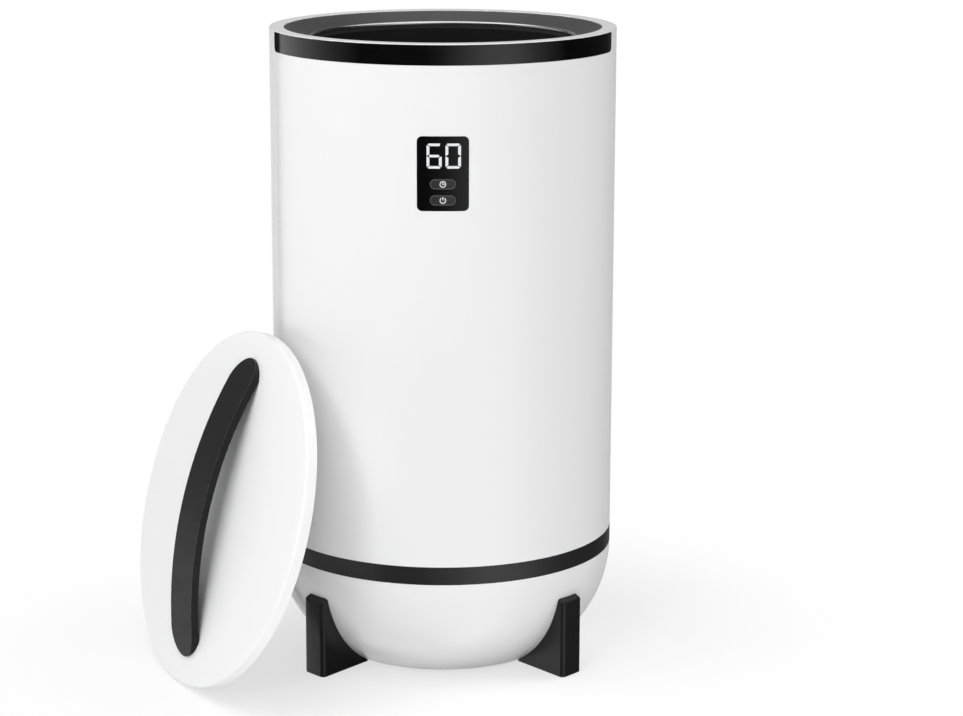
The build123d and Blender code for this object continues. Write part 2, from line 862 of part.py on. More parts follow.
with BuildPart() as lid_top:
    with BuildSketch(lid_section) as lid_outline:
        with BuildLine():
            Polyline(
                (0, lid_thickness),
                (lid_radius, lid_thickness),
                (lid_radius, 0),
                (lid_radius - lid_wall, 0),
                (lid_radius - lid_wall, lid_deck),
                (0, lid_deck),
                close=True,
            )
        make_face()
        rim_corners = lid_outline.vertices().group_by(Axis.X)[-1].sort_by(Axis.Y)
        fillet(rim_corners[-1], radius=lid_edge_fillet)
        fillet(rim_corners[0], radius=lid_foot_fillet)
    revolve(axis=lid_axis)
    with BuildSketch(lid_plane.offset(underside_plate)):
        with PolarLocations(underside_screw_circle, 6):
            Circle(boss_radius)
            Circle(1.5, mode=Mode.SUBTRACT)
    extrude(amount=lid_deck - underside_plate)
    with BuildSketch(handle_plane.offset(lid_deck)):
        with Locations((-handle_screw_reach, 0), (handle_screw_reach, 0)):
            Circle(2.2)
    extrude(amount=lid_wall, mode=Mode.SUBTRACT)
save(lid_top.part, "lid_top")

with BuildPart() as lid_underside:
    with BuildSketch(lid_plane):
        Circle(lid_radius - lid_wall - 0.3)
        Circle(plug_flange_radius + 1, mode=Mode.SUBTRACT)
        with PolarLocations(plug_screw_circle, 6, start_angle=30):
            Circle(1.7, mode=Mode.SUBTRACT)
        with PolarLocations(underside_screw_circle, 6):
            Circle(1.7, mode=Mode.SUBTRACT)
    extrude(amount=underside_plate)
    with BuildSketch(lid_plane):
        with PolarLocations(underside_screw_circle, 6):
            Circle(3.3)
    extrude(amount=1.6, mode=Mode.SUBTRACT)
save(lid_underside.part, "lid_underside")

with BuildPart() as underside_screws:
    with BuildSketch(lid_plane.offset(0.1)):
        with PolarLocations(underside_screw_circle, 6):
            Circle(3)
    extrude(amount=1.5)
    with BuildSketch(lid_plane.offset(1.6)):
        with PolarLocations(underside_screw_circle, 6):
            Circle(1.45)
    extrude(amount=5.2)
save(underside_screws.part, "underside_screws")

with BuildPart() as lid_plug:
    with BuildSketch(lid_section) as plug_outline:
        with BuildLine():
            Polyline(
                (0, -plug_depth),
                (plug_radius, -plug_depth),
                (plug_radius, 0),
                (plug_flange_radius, 0),
                (plug_flange_radius, -plug_wall),
                (plug_radius - plug_wall, -plug_wall),
                (plug_radius - plug_wall, -plug_depth + plug_wall),
                (0, -plug_depth + plug_wall),
                close=True,
            )
        make_face()
        plug_corner = plug_outline.vertices().filter_by(lambda v: abs(v.X - plug_radius) < 0.01)
        fillet(plug_corner.sort_by(Axis.Y)[0], radius=plug_fillet)
    revolve(axis=lid_axis)
    with BuildSketch(lid_plane.offset(-plug_wall)):
        with PolarLocations(plug_screw_circle, 6, start_angle=30):
            Circle(boss_radius)
    extrude(amount=-5)
    with BuildSketch(lid_plane):
        with PolarLocations(plug_screw_circle, 6, start_angle=30):
            Circle(1.35)
    extrude(amount=-6.5, mode=Mode.SUBTRACT)
save(lid_plug.part, "lid_plug")

with BuildPart() as plug_screws:
    with BuildSketch(lid_plane.offset(underside_plate)):
        with PolarLocations(plug_screw_circle, 6, start_angle=30):
            Circle(2.8)
    extrude(amount=1.8)
    with BuildSketch(lid_plane.offset(underside_plate)):
        with PolarLocations(plug_screw_circle, 6, start_angle=30):
            Circle(1.3)
    extrude(amount=-8)
save(plug_screws.part, "plug_screws")

seal_root = plug_radius + 0.02

save(
    turned_on_lid(
        [
            (seal_root, -13),
            (seal_root + 1.2, -13),
            (seal_root + 2.2, -11.6),
            (seal_root + 2.2, -10.8),
            (seal_root + 1.2, -9.4),
            (seal_root, -9.4),
        ]
    ),
    "lid_seal",
)

with BuildPart() as lid_foam:
    with BuildSketch(lid_plane.offset(-plug_depth + plug_wall + 0.1)):
        Circle(plug_flange_radius - 0.5)
    extrude(amount=plug_depth - plug_wall + 4)
    chamfer(lid_foam.edges().filter_by(GeomType.CIRCLE), length=2)
save(lid_foam.part, "lid_foam")

# ------------------------------------------------------------------ lid: arched strap handle
handle_base = lid_thickness

with BuildPart() as lid_handle:
    with BuildSketch(handle_profile):
        with BuildLine():
            Polyline(
                (-handle_length / 2, handle_base + handle_tip),
                (-handle_length / 2, handle_base),
                (-handle_span / 2, handle_base),
            )
            ThreePointArc(
                (-handle_span / 2, handle_base),
                (0, handle_base + handle_rise - handle_thickness),
                (handle_span / 2, handle_base),
            )
            Polyline(
                (handle_span / 2, handle_base),
                (handle_length / 2, handle_base),
                (handle_length / 2, handle_base + handle_tip),
            )
            ThreePointArc(
                (handle_length / 2, handle_base + handle_tip),
                (0, handle_base + handle_rise),
                (-handle_length / 2, handle_base + handle_tip),
            )
        make_face()
    extrude(amount=handle_width / 2, both=True)
    with BuildSketch(handle_plane):
        SlotOverall(handle_length, handle_width)
    extrude(amount=60, mode=Mode.INTERSECT)
    with BuildSketch(handle_plane.offset(handle_base)):
        with Locations((-handle_screw_reach, 0), (handle_screw_reach, 0)):
            Circle(1.8)
    extrude(amount=4, mode=Mode.SUBTRACT)
save(lid_handle.part, "lid_handle")

with BuildPart() as handle_screws:
    with BuildSketch(handle_plane.offset(lid_deck)):
        with Locations((-handle_screw_reach, 0), (handle_screw_reach, 0)):
            Circle(3.5)
    extrude(amount=-2.2)
    with BuildSketch(handle_plane.offset(lid_deck)):
        with Locations((-handle_screw_reach, 0), (handle_screw_reach, 0)):
            Circle(1.75)
    extrude(amount=lid_wall + 3.8)
save(handle_screws.part, "handle_screws")
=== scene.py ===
from math import ceil, cos, pi, radians, sin, sqrt

import bpy
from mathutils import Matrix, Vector


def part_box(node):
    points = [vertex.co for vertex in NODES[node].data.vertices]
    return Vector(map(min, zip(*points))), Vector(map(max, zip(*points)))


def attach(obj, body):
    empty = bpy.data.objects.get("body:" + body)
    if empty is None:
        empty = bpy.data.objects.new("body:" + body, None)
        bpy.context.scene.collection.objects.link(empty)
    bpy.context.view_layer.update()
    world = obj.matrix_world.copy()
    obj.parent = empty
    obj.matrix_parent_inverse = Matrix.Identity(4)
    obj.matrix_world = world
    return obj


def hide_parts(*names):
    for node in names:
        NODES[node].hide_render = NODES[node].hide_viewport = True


bl_info = {
    "name": "Towel Warmer Bucket",
    "version": (1, 0, 0),
    "blender": (4, 5, 0),
    "location": "View3D > Sidebar > Towel Warmer",
    "description": "Finishes, display and studio stage of a towel warmer bucket",
    "category": "Object",
}

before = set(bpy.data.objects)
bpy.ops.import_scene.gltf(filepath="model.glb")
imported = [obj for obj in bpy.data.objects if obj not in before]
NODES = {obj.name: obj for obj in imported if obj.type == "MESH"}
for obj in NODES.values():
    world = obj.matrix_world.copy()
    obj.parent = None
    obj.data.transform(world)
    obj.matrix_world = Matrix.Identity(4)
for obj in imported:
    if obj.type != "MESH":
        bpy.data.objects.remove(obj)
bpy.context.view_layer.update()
SHELL_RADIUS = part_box("outer_shell")[1].x
BUTTON_FACE = -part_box("timer_button")[0].y


# ---------------------------------------------------------------- the sizes and colours a user would change
def colour_property(name, description, value):
    return bpy.props.FloatVectorProperty(
        name=name, description=description, subtype="COLOR", size=3, min=0.0, max=1.0, default=value)


def length_property(name, description, value):
    return bpy.props.FloatProperty(
        name=name, description=description, subtype="DISTANCE", unit="LENGTH", precision=5, min=0.0,
        default=value)


def power_property(name, description, value):
    return bpy.props.FloatProperty(
        name=name, description=description, subtype="POWER", unit="POWER", min=0.0, default=value)


def level_property(name, description, value):
    return bpy.props.FloatProperty(name=name, description=description, min=0.0, default=value)


class WarmerColours(bpy.types.PropertyGroup):
    """Colours of the moulded, coated and lit surfaces"""

    shell: colour_property("Body", "Gloss white of the body and the base", (0.825, 0.825, 0.83))
    lid: colour_property("Lid", "Satin white of the lid", (0.9, 0.9, 0.902))
    trim: colour_property(
        "Trim", "Gloss black of the band and the display window", (0.0022, 0.0022, 0.0026))
    fittings: colour_property("Fittings", "Satin black of the handle and the feet", (0.013, 0.013, 0.0135))
    belt: colour_property("Belt", "Satin black of the belt above the base", (0.016, 0.016, 0.0165))
    collar: colour_property("Collar", "Dark grey of the collar round the mouth", (0.024, 0.024, 0.0248))
    coating: colour_property("Coating", "Dark coating inside the bucket", (0.012, 0.012, 0.0125))
    button: colour_property("Button", "Face of the two buttons", (0.022, 0.022, 0.0225))
    digits: colour_property("Digits", "Lit segments of the display", (0.86, 0.88, 0.91))
    symbols: colour_property("Symbols", "Printed button symbols", (0.8, 0.8, 0.81))


class WarmerDisplay(bpy.types.PropertyGroup):
    """Sizes of the lit number and the button symbols"""

    digit_top: length_property("Digit top", "Height of the number's upper edge", 0.4902)
    digit_bottom: length_property("Digit bottom", "Height of the number's lower edge", 0.4682)
    upright: length_property("Upright stroke", "Width of the upright segments", 0.0030)
    level: length_property("Level stroke", "Width of the level segments", 0.0028)
    segment_gap: length_property("Segment gap", "Gap between neighbouring segments", 0.0006)
    symbol_radius: length_property("Symbol radius", "Outer radius of both button symbols", 0.0028)
    symbol_line: length_property("Symbol line", "Line width of the button symbols", 0.0008)
    # Width of the light line painted round each button as the highlight along its edge.
    outline: length_property("Button edge highlight", "Width of the line round each button", 0.0004)


class WarmerStage(bpy.types.PropertyGroup):
    """Levels of the studio light"""

    sky: level_property("Sky", "Even light from all round", 0.37)
    key_box: power_property("Key softbox", "Power of the small light at the left front", 10.2)
    front_box: power_property("Front softbox", "Power of the low light beside the camera", 9.0)
    high_box: power_property("High softbox", "Power of the large light high on the left", 26.2)
    side_box: power_property("Side softbox", "Power of the light behind on the right", 16.0)
    room: level_property("Room", "Share of the surroundings that the gloss shows above the horizon", 0.3)
    overhead: level_property("Overhead", "Level of the light above the mouth, as the gloss shows it", 0.9)
    floor: colour_property("Floor", "Colour of the studio floor", (0.95, 0.95, 0.95))


# ---------------------------------------------------------------- fixed sizes, in metres and degrees
EDGE_ANGLE = radians(30.0)  # faces that meet at more than this keep a sharp edge

# The fins are broader than their solids, stand further to the front and have a higher shoulder.
FIN_BREADTH, FIN_SHIFT, FIN_RISE = 1.17, 0.0018, 0.0018
SHOULDER_START, SHOULDER_DEPTH = 0.045, 0.02  # heights over which the rise sets in

# The bead bends round this radius and height, between two radii of its own.
BEAD_CENTRE, BEAD_PROUD, BEAD_SUNK = (0.1199, 0.56293), 0.0024, 0.0019
BEAD_START, BEAD_SWEEP, BEAD_STEPS = 182.0, 76.0, 12

# The plug's seat on the lid's underside, the way the lid faces, and the plug's own sizes.
LID_CENTRE = Vector((-0.19081, -0.09954, 0.15338))
LID_NORMAL = Vector((-0.849124, -0.442968, 0.287695)).normalized()
PLUG_RADIUS, PLUG_DEPTH, PLUG_WALL, PLUG_FLANGE, PLUG_CORNER = 0.115, 0.0284, 0.0024, 0.104, 0.014
CORNER_TURNS = [radians(7.5 * step) for step in range(13)]  # a quarter turn

# The lit number: each digit's left and right edge and its lit segments.
SHOWN_DIGITS = (
    (-0.0141, -0.0007, ("top_slanted", "upper_left", "centre", "lower_left", "lower_right", "bottom")),
    (0.0019, 0.0156, ("top", "upper_left", "upper_right", "lower_left", "lower_right", "bottom")),
)
# Each segment's cut corner, the slip and the tip where two meet, and the slant of one open end.
SEGMENT_CHAMFER, SEGMENT_SLIP, SEGMENT_TIP, SEGMENT_SLANT = 0.002, 0.0009, 0.0015, 0.0012
DIGIT_LAYER = (SHELL_RADIUS, SHELL_RADIUS + 0.00004)  # inner and outer radius of the lit segments
INK_LAYER = (BUTTON_FACE, BUTTON_FACE + 0.00003)  # inner and outer radius of the ink on the buttons

# The painted highlight line round a button's edge, and the clock and the power symbol, in shares of their
# radius.
EDGE_HIGHLIGHT_HALF_LENGTH, EDGE_HIGHLIGHT_HALF_HEIGHT, EDGE_HIGHLIGHT_STEP = 0.01065, 0.0038, 0.0012
EDGE_HIGHLIGHT_TONE = 0.16  # the painted highlight's grey, as a share of the symbols' colour
CLOCK_STEPS, CLOCK_UPRIGHT, CLOCK_LEVEL = 40, 0.75, 0.6
POWER_STEPS, POWER_START, POWER_SWEEP = 32, 125, 290
BAR_TOP, BAR_BOTTOM = 1.2, 0.05

# Studio lights: name, place, width and height. All look at one point on the object's axis.
SOFTBOXES = (
    ("key", (-0.974, -2.138, 1.155), (0.55, 0.55)),
    ("front", (0.3, -2.4, 0.35), (1.6, 0.6)),
    ("high", (-0.75, -0.55, 2.1), (1.6, 1.6)),
    ("side", (1.6, 0.4, 1.5), (1.2, 1.2)),
)
LIGHT_AIM = Vector((0.0, 0.0, 0.3))

# Near the object the floor keeps its own shading and shadow, and further off it turns backdrop white.
FLOOR_HALF, FLOOR_CENTRE = 6.0, (-0.04, -0.02, 0.0)
FLOOR_NEAR, FLOOR_FAR, FLOOR_WHITE = 0.2, 0.52, 0.62

# What the gloss shows of the room: turn in degrees from the front, and level. Dark flags stand between
# white surroundings, the level drops above the horizon, and one light hangs above the mouth.
SURROUNDINGS = (
    (-180.0, 0.6), (-160.0, 0.9), (-155.0, 0.05), (-153.0, 0.05), (-151.6, 1.8), (-150.0, 1.8),
    (-148.6, 0.05), (-138.0, 0.05), (-134.0, 1.15), (-115.0, 1.28), (-97.0, 1.0), (-82.0, 0.59),
    (-68.0, 0.27), (-56.0, 0.03), (-12.0, 0.03), (0.0, 0.22), (16.0, 0.8), (27.0, 1.2), (40.0, 1.38),
    (50.0, 1.2), (62.0, 0.64), (75.0, 0.28), (88.0, 0.02), (140.0, 0.05), (180.0, 0.6),
)
HIGHEST_LEVEL = 2.0  # a colour stop holds 0 to 1, so it holds the level as a share of this
HORIZON, OVERHEAD = (-0.16, 0.0), (0.64, 0.76)  # how steeply up a direction points where each sets in

WHITE = (1.0, 1.0, 1.0, 1.0)


# ---------------------------------------------------------------- node wiring
class Wiring:
    """Adds nodes to one tree and links them."""

    def __init__(self, tree):
        self.tree = tree

    def give(self, socket, value):
        """Links another node's output to the socket, or sets the socket's own value."""
        if isinstance(value, bpy.types.NodeSocket):
            self.tree.links.new(value, socket)
        elif socket.type == "RGBA":
            socket.default_value = (*value[:3], 1.0)
        else:
            socket.default_value = value

    def add(self, kind, inputs=None, **settings):
        made = self.tree.nodes.new(kind)
        for name, value in settings.items():
            setattr(made, name, value)
        for name, value in (inputs or {}).items():
            self.give(made.inputs[name], value)
        return made

    def maths(self, operation, first, second=0.0, third=0.0):
        made = self.add("ShaderNodeMath", {0: first, 1: second, 2: third}, operation=operation)
        return made.outputs[0]

    def noise(self, vector, scale, detail=2.0, roughness=0.5):
        made = self.add(
            "ShaderNodeTexNoise",
            {"Vector": vector, "Scale": scale, "Detail": detail, "Roughness": roughness})
        return made.outputs["Fac"]

    def ramp(self, value, low, high, to_low=0.0, to_high=1.0, kind="SMOOTHSTEP"):
        made = self.add(
            "ShaderNodeMapRange",
            {"Value": value, "From Min": low, "From Max": high, "To Min": to_low, "To Max": to_high},
            interpolation_type=kind)
        return made.outputs["Result"]

    def blend(self, factor, first, second, blend_type="MIX"):
        made = self.add("ShaderNodeMix", data_type="RGBA", blend_type=blend_type, clamp_factor=True)
        colours = [socket for socket in made.inputs if socket.type == "RGBA"]
        for socket, value in zip((made.inputs[0], *colours), (factor, first, second)):
            self.give(socket, value)
        return next(socket for socket in made.outputs if socket.type == "RGBA")


def new_group(name, inputs, outputs):
    """A shader node group with named sockets, its wiring, and the sockets at its two ends."""
    group = bpy.data.node_groups.new(name, "ShaderNodeTree")
    for title, kind, value in inputs:
        socket = group.interface.new_socket(name=title, in_out="INPUT", socket_type=kind)
        if value is not None:
            socket.default_value = value
    for title, kind in outputs:
        group.interface.new_socket(name=title, in_out="OUTPUT", socket_type=kind)
    wiring = Wiring(group)
    return group, wiring, wiring.add("NodeGroupInput").outputs, wiring.add("NodeGroupOutput").inputs


FLOAT, COLOUR, VECTOR = "NodeSocketFloat", "NodeSocketColor", "NodeSocketVector"


def moulded_skin_group():
    """Fine moulded grain over a slow waviness, as a height."""
    group, wiring, given, out = new_group(
        "Moulded skin",
        [("Vector", VECTOR, None), ("Grain size", FLOAT, 0.0006), ("Grain", FLOAT, 0.5),
         ("Wave size", FLOAT, 0.03), ("Wave", FLOAT, 0.5)],
        [("Height", FLOAT)])
    fine = wiring.noise(given["Vector"], wiring.maths("DIVIDE", 1.0, given["Grain size"]), 3.0, 0.6)
    slow = wiring.noise(given["Vector"], wiring.maths("DIVIDE", 1.0, given["Wave size"]), 1.0)
    height = wiring.maths("MULTIPLY", fine, given["Grain"])
    height = wiring.maths("MULTIPLY_ADD", slow, given["Wave"], height)
    group.links.new(height, out["Height"])
    return group


def tone_drift_group():
    """A base colour that drifts a little lighter and darker over the surface."""
    group, wiring, given, out = new_group(
        "Tone drift",
        [("Vector", VECTOR, None), ("Colour", COLOUR, (0.5, 0.5, 0.5, 1.0)), ("Patch size", FLOAT, 0.08),
         ("Drift", FLOAT, 0.03)],
        [("Colour", COLOUR)])
    patches = wiring.noise(given["Vector"], wiring.maths("DIVIDE", 1.0, given["Patch size"]), 4.0)
    swing = wiring.maths("MULTIPLY", wiring.maths("SUBTRACT", patches, 0.5), given["Drift"])
    level = wiring.maths("MULTIPLY_ADD", swing, 2.0, 1.0)
    grey = wiring.add("ShaderNodeCombineXYZ", {"X": level, "Y": level, "Z": level}).outputs[0]
    group.links.new(wiring.blend(1.0, given["Colour"], grey, "MULTIPLY"), out["Colour"])
    return group


def handling_group():
    """Faint smears and wiped streaks, as a roughness."""
    group, wiring, given, out = new_group(
        "Handling marks",
        [("Vector", VECTOR, None), ("Roughness", FLOAT, 0.3), ("Smear size", FLOAT, 0.02),
         ("Smear", FLOAT, 0.06)],
        [("Roughness", FLOAT)])
    smears = wiring.noise(given["Vector"], wiring.maths("DIVIDE", 1.0, given["Smear size"]), 5.0, 0.65)
    wiped = wiring.add("ShaderNodeMapping", {"Vector": given["Vector"], "Scale": (9.0, 9.0, 60.0)})
    streaks = wiring.noise(wiped.outputs[0], 1.0, 3.0)
    marks = wiring.maths("ADD", wiring.ramp(smears, 0.45, 0.75), wiring.maths("MULTIPLY", streaks, 0.35))
    group.links.new(wiring.maths("MULTIPLY_ADD", marks, given["Smear"], given["Roughness"]),
                    out["Roughness"])
    return group


def dust_group():
    """Fine dust that settles on what faces up."""
    group, wiring, given, out = new_group(
        "Settled dust",
        [("Vector", VECTOR, None), ("Colour", COLOUR, (0.5, 0.5, 0.5, 1.0)),
         ("Dust colour", COLOUR, (0.55, 0.54, 0.52, 1.0)), ("Dust", FLOAT, 0.05)],
        [("Colour", COLOUR)])
    normal = wiring.add("ShaderNodeNewGeometry").outputs["Normal"]
    facing = wiring.add("ShaderNodeSeparateXYZ", {"Vector": normal}).outputs["Z"]
    specks = wiring.ramp(wiring.noise(given["Vector"], 900.0, 2.0, 0.7), 0.5, 0.72)
    film = wiring.noise(given["Vector"], 35.0, 3.0)
    cover = wiring.maths("MULTIPLY", wiring.maths("ADD", specks, film), wiring.ramp(facing, 0.2, 1.0))
    mask = wiring.maths("MULTIPLY", cover, given["Dust"])
    group.links.new(wiring.blend(mask, given["Colour"], given["Dust colour"]), out["Colour"])
    return group


def edge_wear_and_highlight_group():
    """Where a real edge is a little lighter: wear, and a painted highlight along the edge."""
    group, wiring, given, out = new_group(
        "Edge wear",
        [("Vector", VECTOR, None), ("Colour", COLOUR, (0.5, 0.5, 0.5, 1.0)),
         ("Worn colour", COLOUR, (0.6, 0.6, 0.6, 1.0)), ("Wear", FLOAT, 0.3)],
        [("Colour", COLOUR)])
    rounded = wiring.add("ShaderNodeBevel", {"Radius": 0.0007}, samples=4).outputs[0]
    plain = wiring.add("ShaderNodeNewGeometry").outputs["Normal"]
    agree = wiring.add("ShaderNodeVectorMath", {0: rounded, 1: plain}, operation="DOT_PRODUCT")
    sharp = wiring.ramp(agree.outputs["Value"], 0.99, 0.86)
    broken = wiring.ramp(wiring.noise(given["Vector"], 220.0, 4.0, 0.7), 0.35, 0.7, 0.3, 1.0)
    mask = wiring.maths("MULTIPLY", wiring.maths("MULTIPLY", sharp, broken), given["Wear"])
    group.links.new(wiring.blend(mask, given["Colour"], given["Worn colour"]), out["Colour"])
    return group


GROUP_MAKERS = {
    "Moulded skin": moulded_skin_group,
    "Tone drift": tone_drift_group,
    "Handling marks": handling_group,
    "Settled dust": dust_group,
    "Edge wear": edge_wear_and_highlight_group,
}


class Finish(Wiring):
    """A material on a Principled BSDF, fed by the shared groups."""

    def __init__(self, name, **constants):
        self.material = bpy.data.materials.new(name)
        self.material.use_nodes = True
        super().__init__(self.material.node_tree)
        self.tree.nodes.clear()
        self.shader = self.add("ShaderNodeBsdfPrincipled", constants)
        self.add("ShaderNodeOutputMaterial", {"Surface": self.shader.outputs[0]})
        self.place = self.add("ShaderNodeTexCoord").outputs["Object"]

    def group(self, name, **inputs):
        tree = bpy.data.node_groups.get(name) or GROUP_MAKERS[name]()
        made = self.add("ShaderNodeGroup", node_tree=tree)
        for title, value in {"Vector": self.place, **inputs}.items():
            self.give(made.inputs[title.replace("_", " ")], value)
        return made.outputs

    def feed(self, title, socket):
        self.tree.links.new(socket, self.shader.inputs[title])

    def bump(self, height, depth):
        made = self.add("ShaderNodeBump", {"Height": height, "Distance": depth, "Strength": 1.0})
        self.feed("Normal", made.outputs[0])

    def drifting(self, colour, drift, patch=0.08):
        """The colour, a little lighter and darker from place to place."""
        return self.group("Tone drift", Colour=colour, Patch_size=patch, Drift=drift)["Colour"]

    def handled(self, roughness, smear):
        """Feeds the roughness, with faint smears and wiped streaks."""
        marks = self.group("Handling marks", Roughness=roughness, Smear=smear)
        self.feed("Roughness", marks["Roughness"])


def moulded_plastic(name, colour, roughness, grain=0.35, grain_size=0.0006, wave=0.5, wave_size=0.035,
                    depth=0.00003, drift=0.02, smear=0.05, dust=0.03, wear=0.25, wear_and_highlight_colour=(0.9, 0.9, 0.9),
                    **constants):
    """Moulded plastic: grain, slow waviness, drifting tone, faint smears, dust, and edges lighter from wear
    and a painted highlight.
    """
    finish = Finish(name, **constants)
    tone = finish.drifting(colour, drift)
    with_lighter_edges = finish.group("Edge wear", Colour=tone, Worn_colour=wear_and_highlight_colour, Wear=wear)["Colour"]
    finish.feed("Base Color", finish.group("Settled dust", Colour=with_lighter_edges, Dust=dust)["Colour"])
    finish.handled(roughness, smear)
    finish.bump(finish.group("Moulded skin", Grain_size=grain_size, Grain=grain, Wave=wave,
                             Wave_size=wave_size)["Height"], depth)
    return finish.material


def brushed_metal(name, colour, roughness):
    """Plated steel with a fine directional grain and dull patches."""
    finish = Finish(name, Metallic=1.0)
    grain = finish.add("ShaderNodeMapping", {"Vector": finish.place, "Scale": (400.0, 400.0, 6000.0)})
    lines = finish.noise(grain.outputs[0], 1.0, 3.0, 0.7)
    dull = tuple(0.6 * part for part in colour)
    finish.feed("Base Color", finish.blend(finish.ramp(lines, 0.3, 0.8, 0.0, 0.35),
                                           finish.drifting(colour, 0.12, 0.004), dull))
    finish.handled(roughness, 0.12)
    finish.bump(lines, 0.00001)
    return finish.material


def crinkled_foil(name, colour):
    """Thin aluminium sheet with pressed wrinkles."""
    finish = Finish(name, Metallic=1.0)
    cells = finish.add("ShaderNodeTexVoronoi", {"Vector": finish.place, "Scale": 120.0},
                       feature="DISTANCE_TO_EDGE").outputs["Distance"]
    finish.feed("Base Color", finish.drifting(colour, 0.08, 0.01))
    finish.handled(0.28, 0.15)
    finish.bump(finish.maths("ADD", cells, finish.noise(finish.place, 300.0)), 0.0004)
    return finish.material


def heating_mat(name, colour):
    """Silicone mat with the heating wire's turns showing through it."""
    finish = Finish(name, Roughness=0.55)
    turns = finish.add("ShaderNodeTexWave", {"Vector": finish.place, "Scale": 22.0, "Distortion": 0.6,
                                             "Detail": 1.0}, bands_direction="Z").outputs["Fac"]
    wire = finish.ramp(turns, 0.82, 0.95)
    finish.feed("Base Color", finish.blend(finish.maths("MULTIPLY", wire, 0.5),
                                           finish.drifting(colour, 0.08, 0.03), (0.25, 0.08, 0.03)))
    weave = finish.noise(finish.place, 1500.0, 2.0)
    finish.bump(finish.maths("MULTIPLY_ADD", wire, 1.0, weave), 0.0003)
    return finish.material


def felted_wool(name, colour):
    """Needled insulation felt: matted fibres and punched dimples."""
    finish = Finish(name, Roughness=0.95)
    fibres = finish.add("ShaderNodeMapping", {"Vector": finish.place, "Scale": (300.0, 300.0, 1400.0)})
    strands = finish.noise(fibres.outputs[0], 1.0, 5.0, 0.75)
    punched = finish.add("ShaderNodeTexVoronoi", {"Vector": finish.place, "Scale": 260.0}).outputs[0]
    finish.feed("Base Color", finish.blend(finish.ramp(strands, 0.35, 0.75, 0.0, 0.4),
                                           finish.drifting(colour, 0.12, 0.02), (0.6, 0.58, 0.53)))
    finish.bump(finish.maths("ADD", strands, punched), 0.0008)
    return finish.material


def closed_foam(name, colour):
    """Rigid insulation foam: fine closed cells."""
    finish = Finish(name, Roughness=0.9)
    cells = finish.add("ShaderNodeTexVoronoi", {"Vector": finish.place, "Scale": 700.0},
                       feature="DISTANCE_TO_EDGE").outputs["Distance"]
    finish.feed("Base Color", finish.blend(finish.ramp(cells, 0.0, 0.12, 0.35, 0.0),
                                           finish.drifting(colour, 0.06, 0.03), (0.6, 0.57, 0.48)))
    finish.bump(cells, 0.0005)
    return finish.material


def printed_board(name, colour):
    """Solder-masked circuit board: copper tracks under the mask and bare pads."""
    finish = Finish(name, Roughness=0.38)
    tracks = finish.add("ShaderNodeTexBrick", {
        "Vector": finish.place, "Scale": 130.0, "Mortar Size": 0.035}).outputs["Fac"]
    pads = finish.add("ShaderNodeTexVoronoi", {"Vector": finish.place, "Scale": 160.0}).outputs[0]
    bare = finish.ramp(pads, 0.16, 0.12)
    over_copper = tuple(min(1.0, 1.9 * part) for part in colour)
    masked = finish.blend(finish.maths("MULTIPLY", tracks, 0.6), finish.drifting(colour, 0.1),
                          over_copper)
    finish.feed("Base Color", finish.blend(bare, masked, (0.75, 0.72, 0.66)))
    finish.feed("Metallic", bare)
    finish.bump(finish.maths("ADD", tracks, bare), 0.00004)
    return finish.material


def soft_rubber(name, colour, roughness=0.75):
    """Matt rubber with a fine bloom and a moulded texture."""
    finish = Finish(name, **{"Specular IOR Level": 0.35})
    wear_and_highlight_colour = tuple(min(1.0, 1.6 * part + 0.02) for part in colour)
    with_lighter_edges = finish.group("Edge wear", Colour=finish.drifting(colour, 0.15, 0.015), Worn_colour=wear_and_highlight_colour,
                          Wear=0.5)["Colour"]
    finish.feed("Base Color", finish.group("Settled dust", Colour=with_lighter_edges, Dust=0.06)["Colour"])
    finish.handled(roughness, 0.1)
    finish.bump(finish.group("Moulded skin", Grain_size=0.0004, Grain=1.0, Wave=0.3,
                             Wave_size=0.006)["Height"], 0.00012)
    return finish.material


def coated_metal(name, colour):
    """Dark non-stick coating: a fine sprayed texture with faint specks and scuffs."""
    finish = Finish(name)
    specks = finish.ramp(finish.noise(finish.place, 2600.0, 2.0, 0.6), 0.62, 0.7)
    finish.feed("Base Color", finish.blend(finish.maths("MULTIPLY", specks, 0.25),
                                           finish.drifting(colour, 0.12, 0.06), (0.06, 0.06, 0.06)))
    finish.handled(0.3, 0.08)
    finish.bump(finish.group("Moulded skin", Grain_size=0.0005, Grain=1.0, Wave=0.8,
                             Wave_size=0.012)["Height"], 0.00003)
    return finish.material


def lit_segments(name, colour):
    """Lit display segments: even light with a slightly dimmer diffuser grain."""
    finish = Finish(name, **{"Base Color": (0.02, 0.02, 0.02, 1.0), "Roughness": 0.25,
                             "Emission Strength": 1.0})
    grain = finish.noise(finish.place, 900.0, 2.0)
    finish.feed("Emission Color", finish.blend(finish.ramp(grain, 0.3, 0.7, 0.0, 1.0),
                                               tuple(0.86 * part for part in colour), colour))
    return finish.material


def printed_ink(name, colour):
    """Screen-printed ink: dense, matt and very slightly uneven."""
    finish = Finish(name, Roughness=0.55)
    ink = finish.ramp(finish.noise(finish.place, 3000.0, 3.0, 0.7), 0.3, 0.7, 0.75, 1.0)
    finish.feed("Base Color", finish.blend(ink, tuple(0.7 * part for part in colour), colour))
    finish.bump(finish.noise(finish.place, 4000.0, 2.0), 0.00001)
    return finish.material


def dress(material, *names):
    """Gives the named CAD nodes that material."""
    for name in names:
        slots = NODES[name].data.materials
        slots.clear()
        slots.append(material)


# ---------------------------------------------------------------- meshes made here
def on_curve(x, z, radius):
    """The point at width x and height z on the shell's own curve, or one a little out from it."""
    return Vector((x, -sqrt(radius * radius - x * x), z))


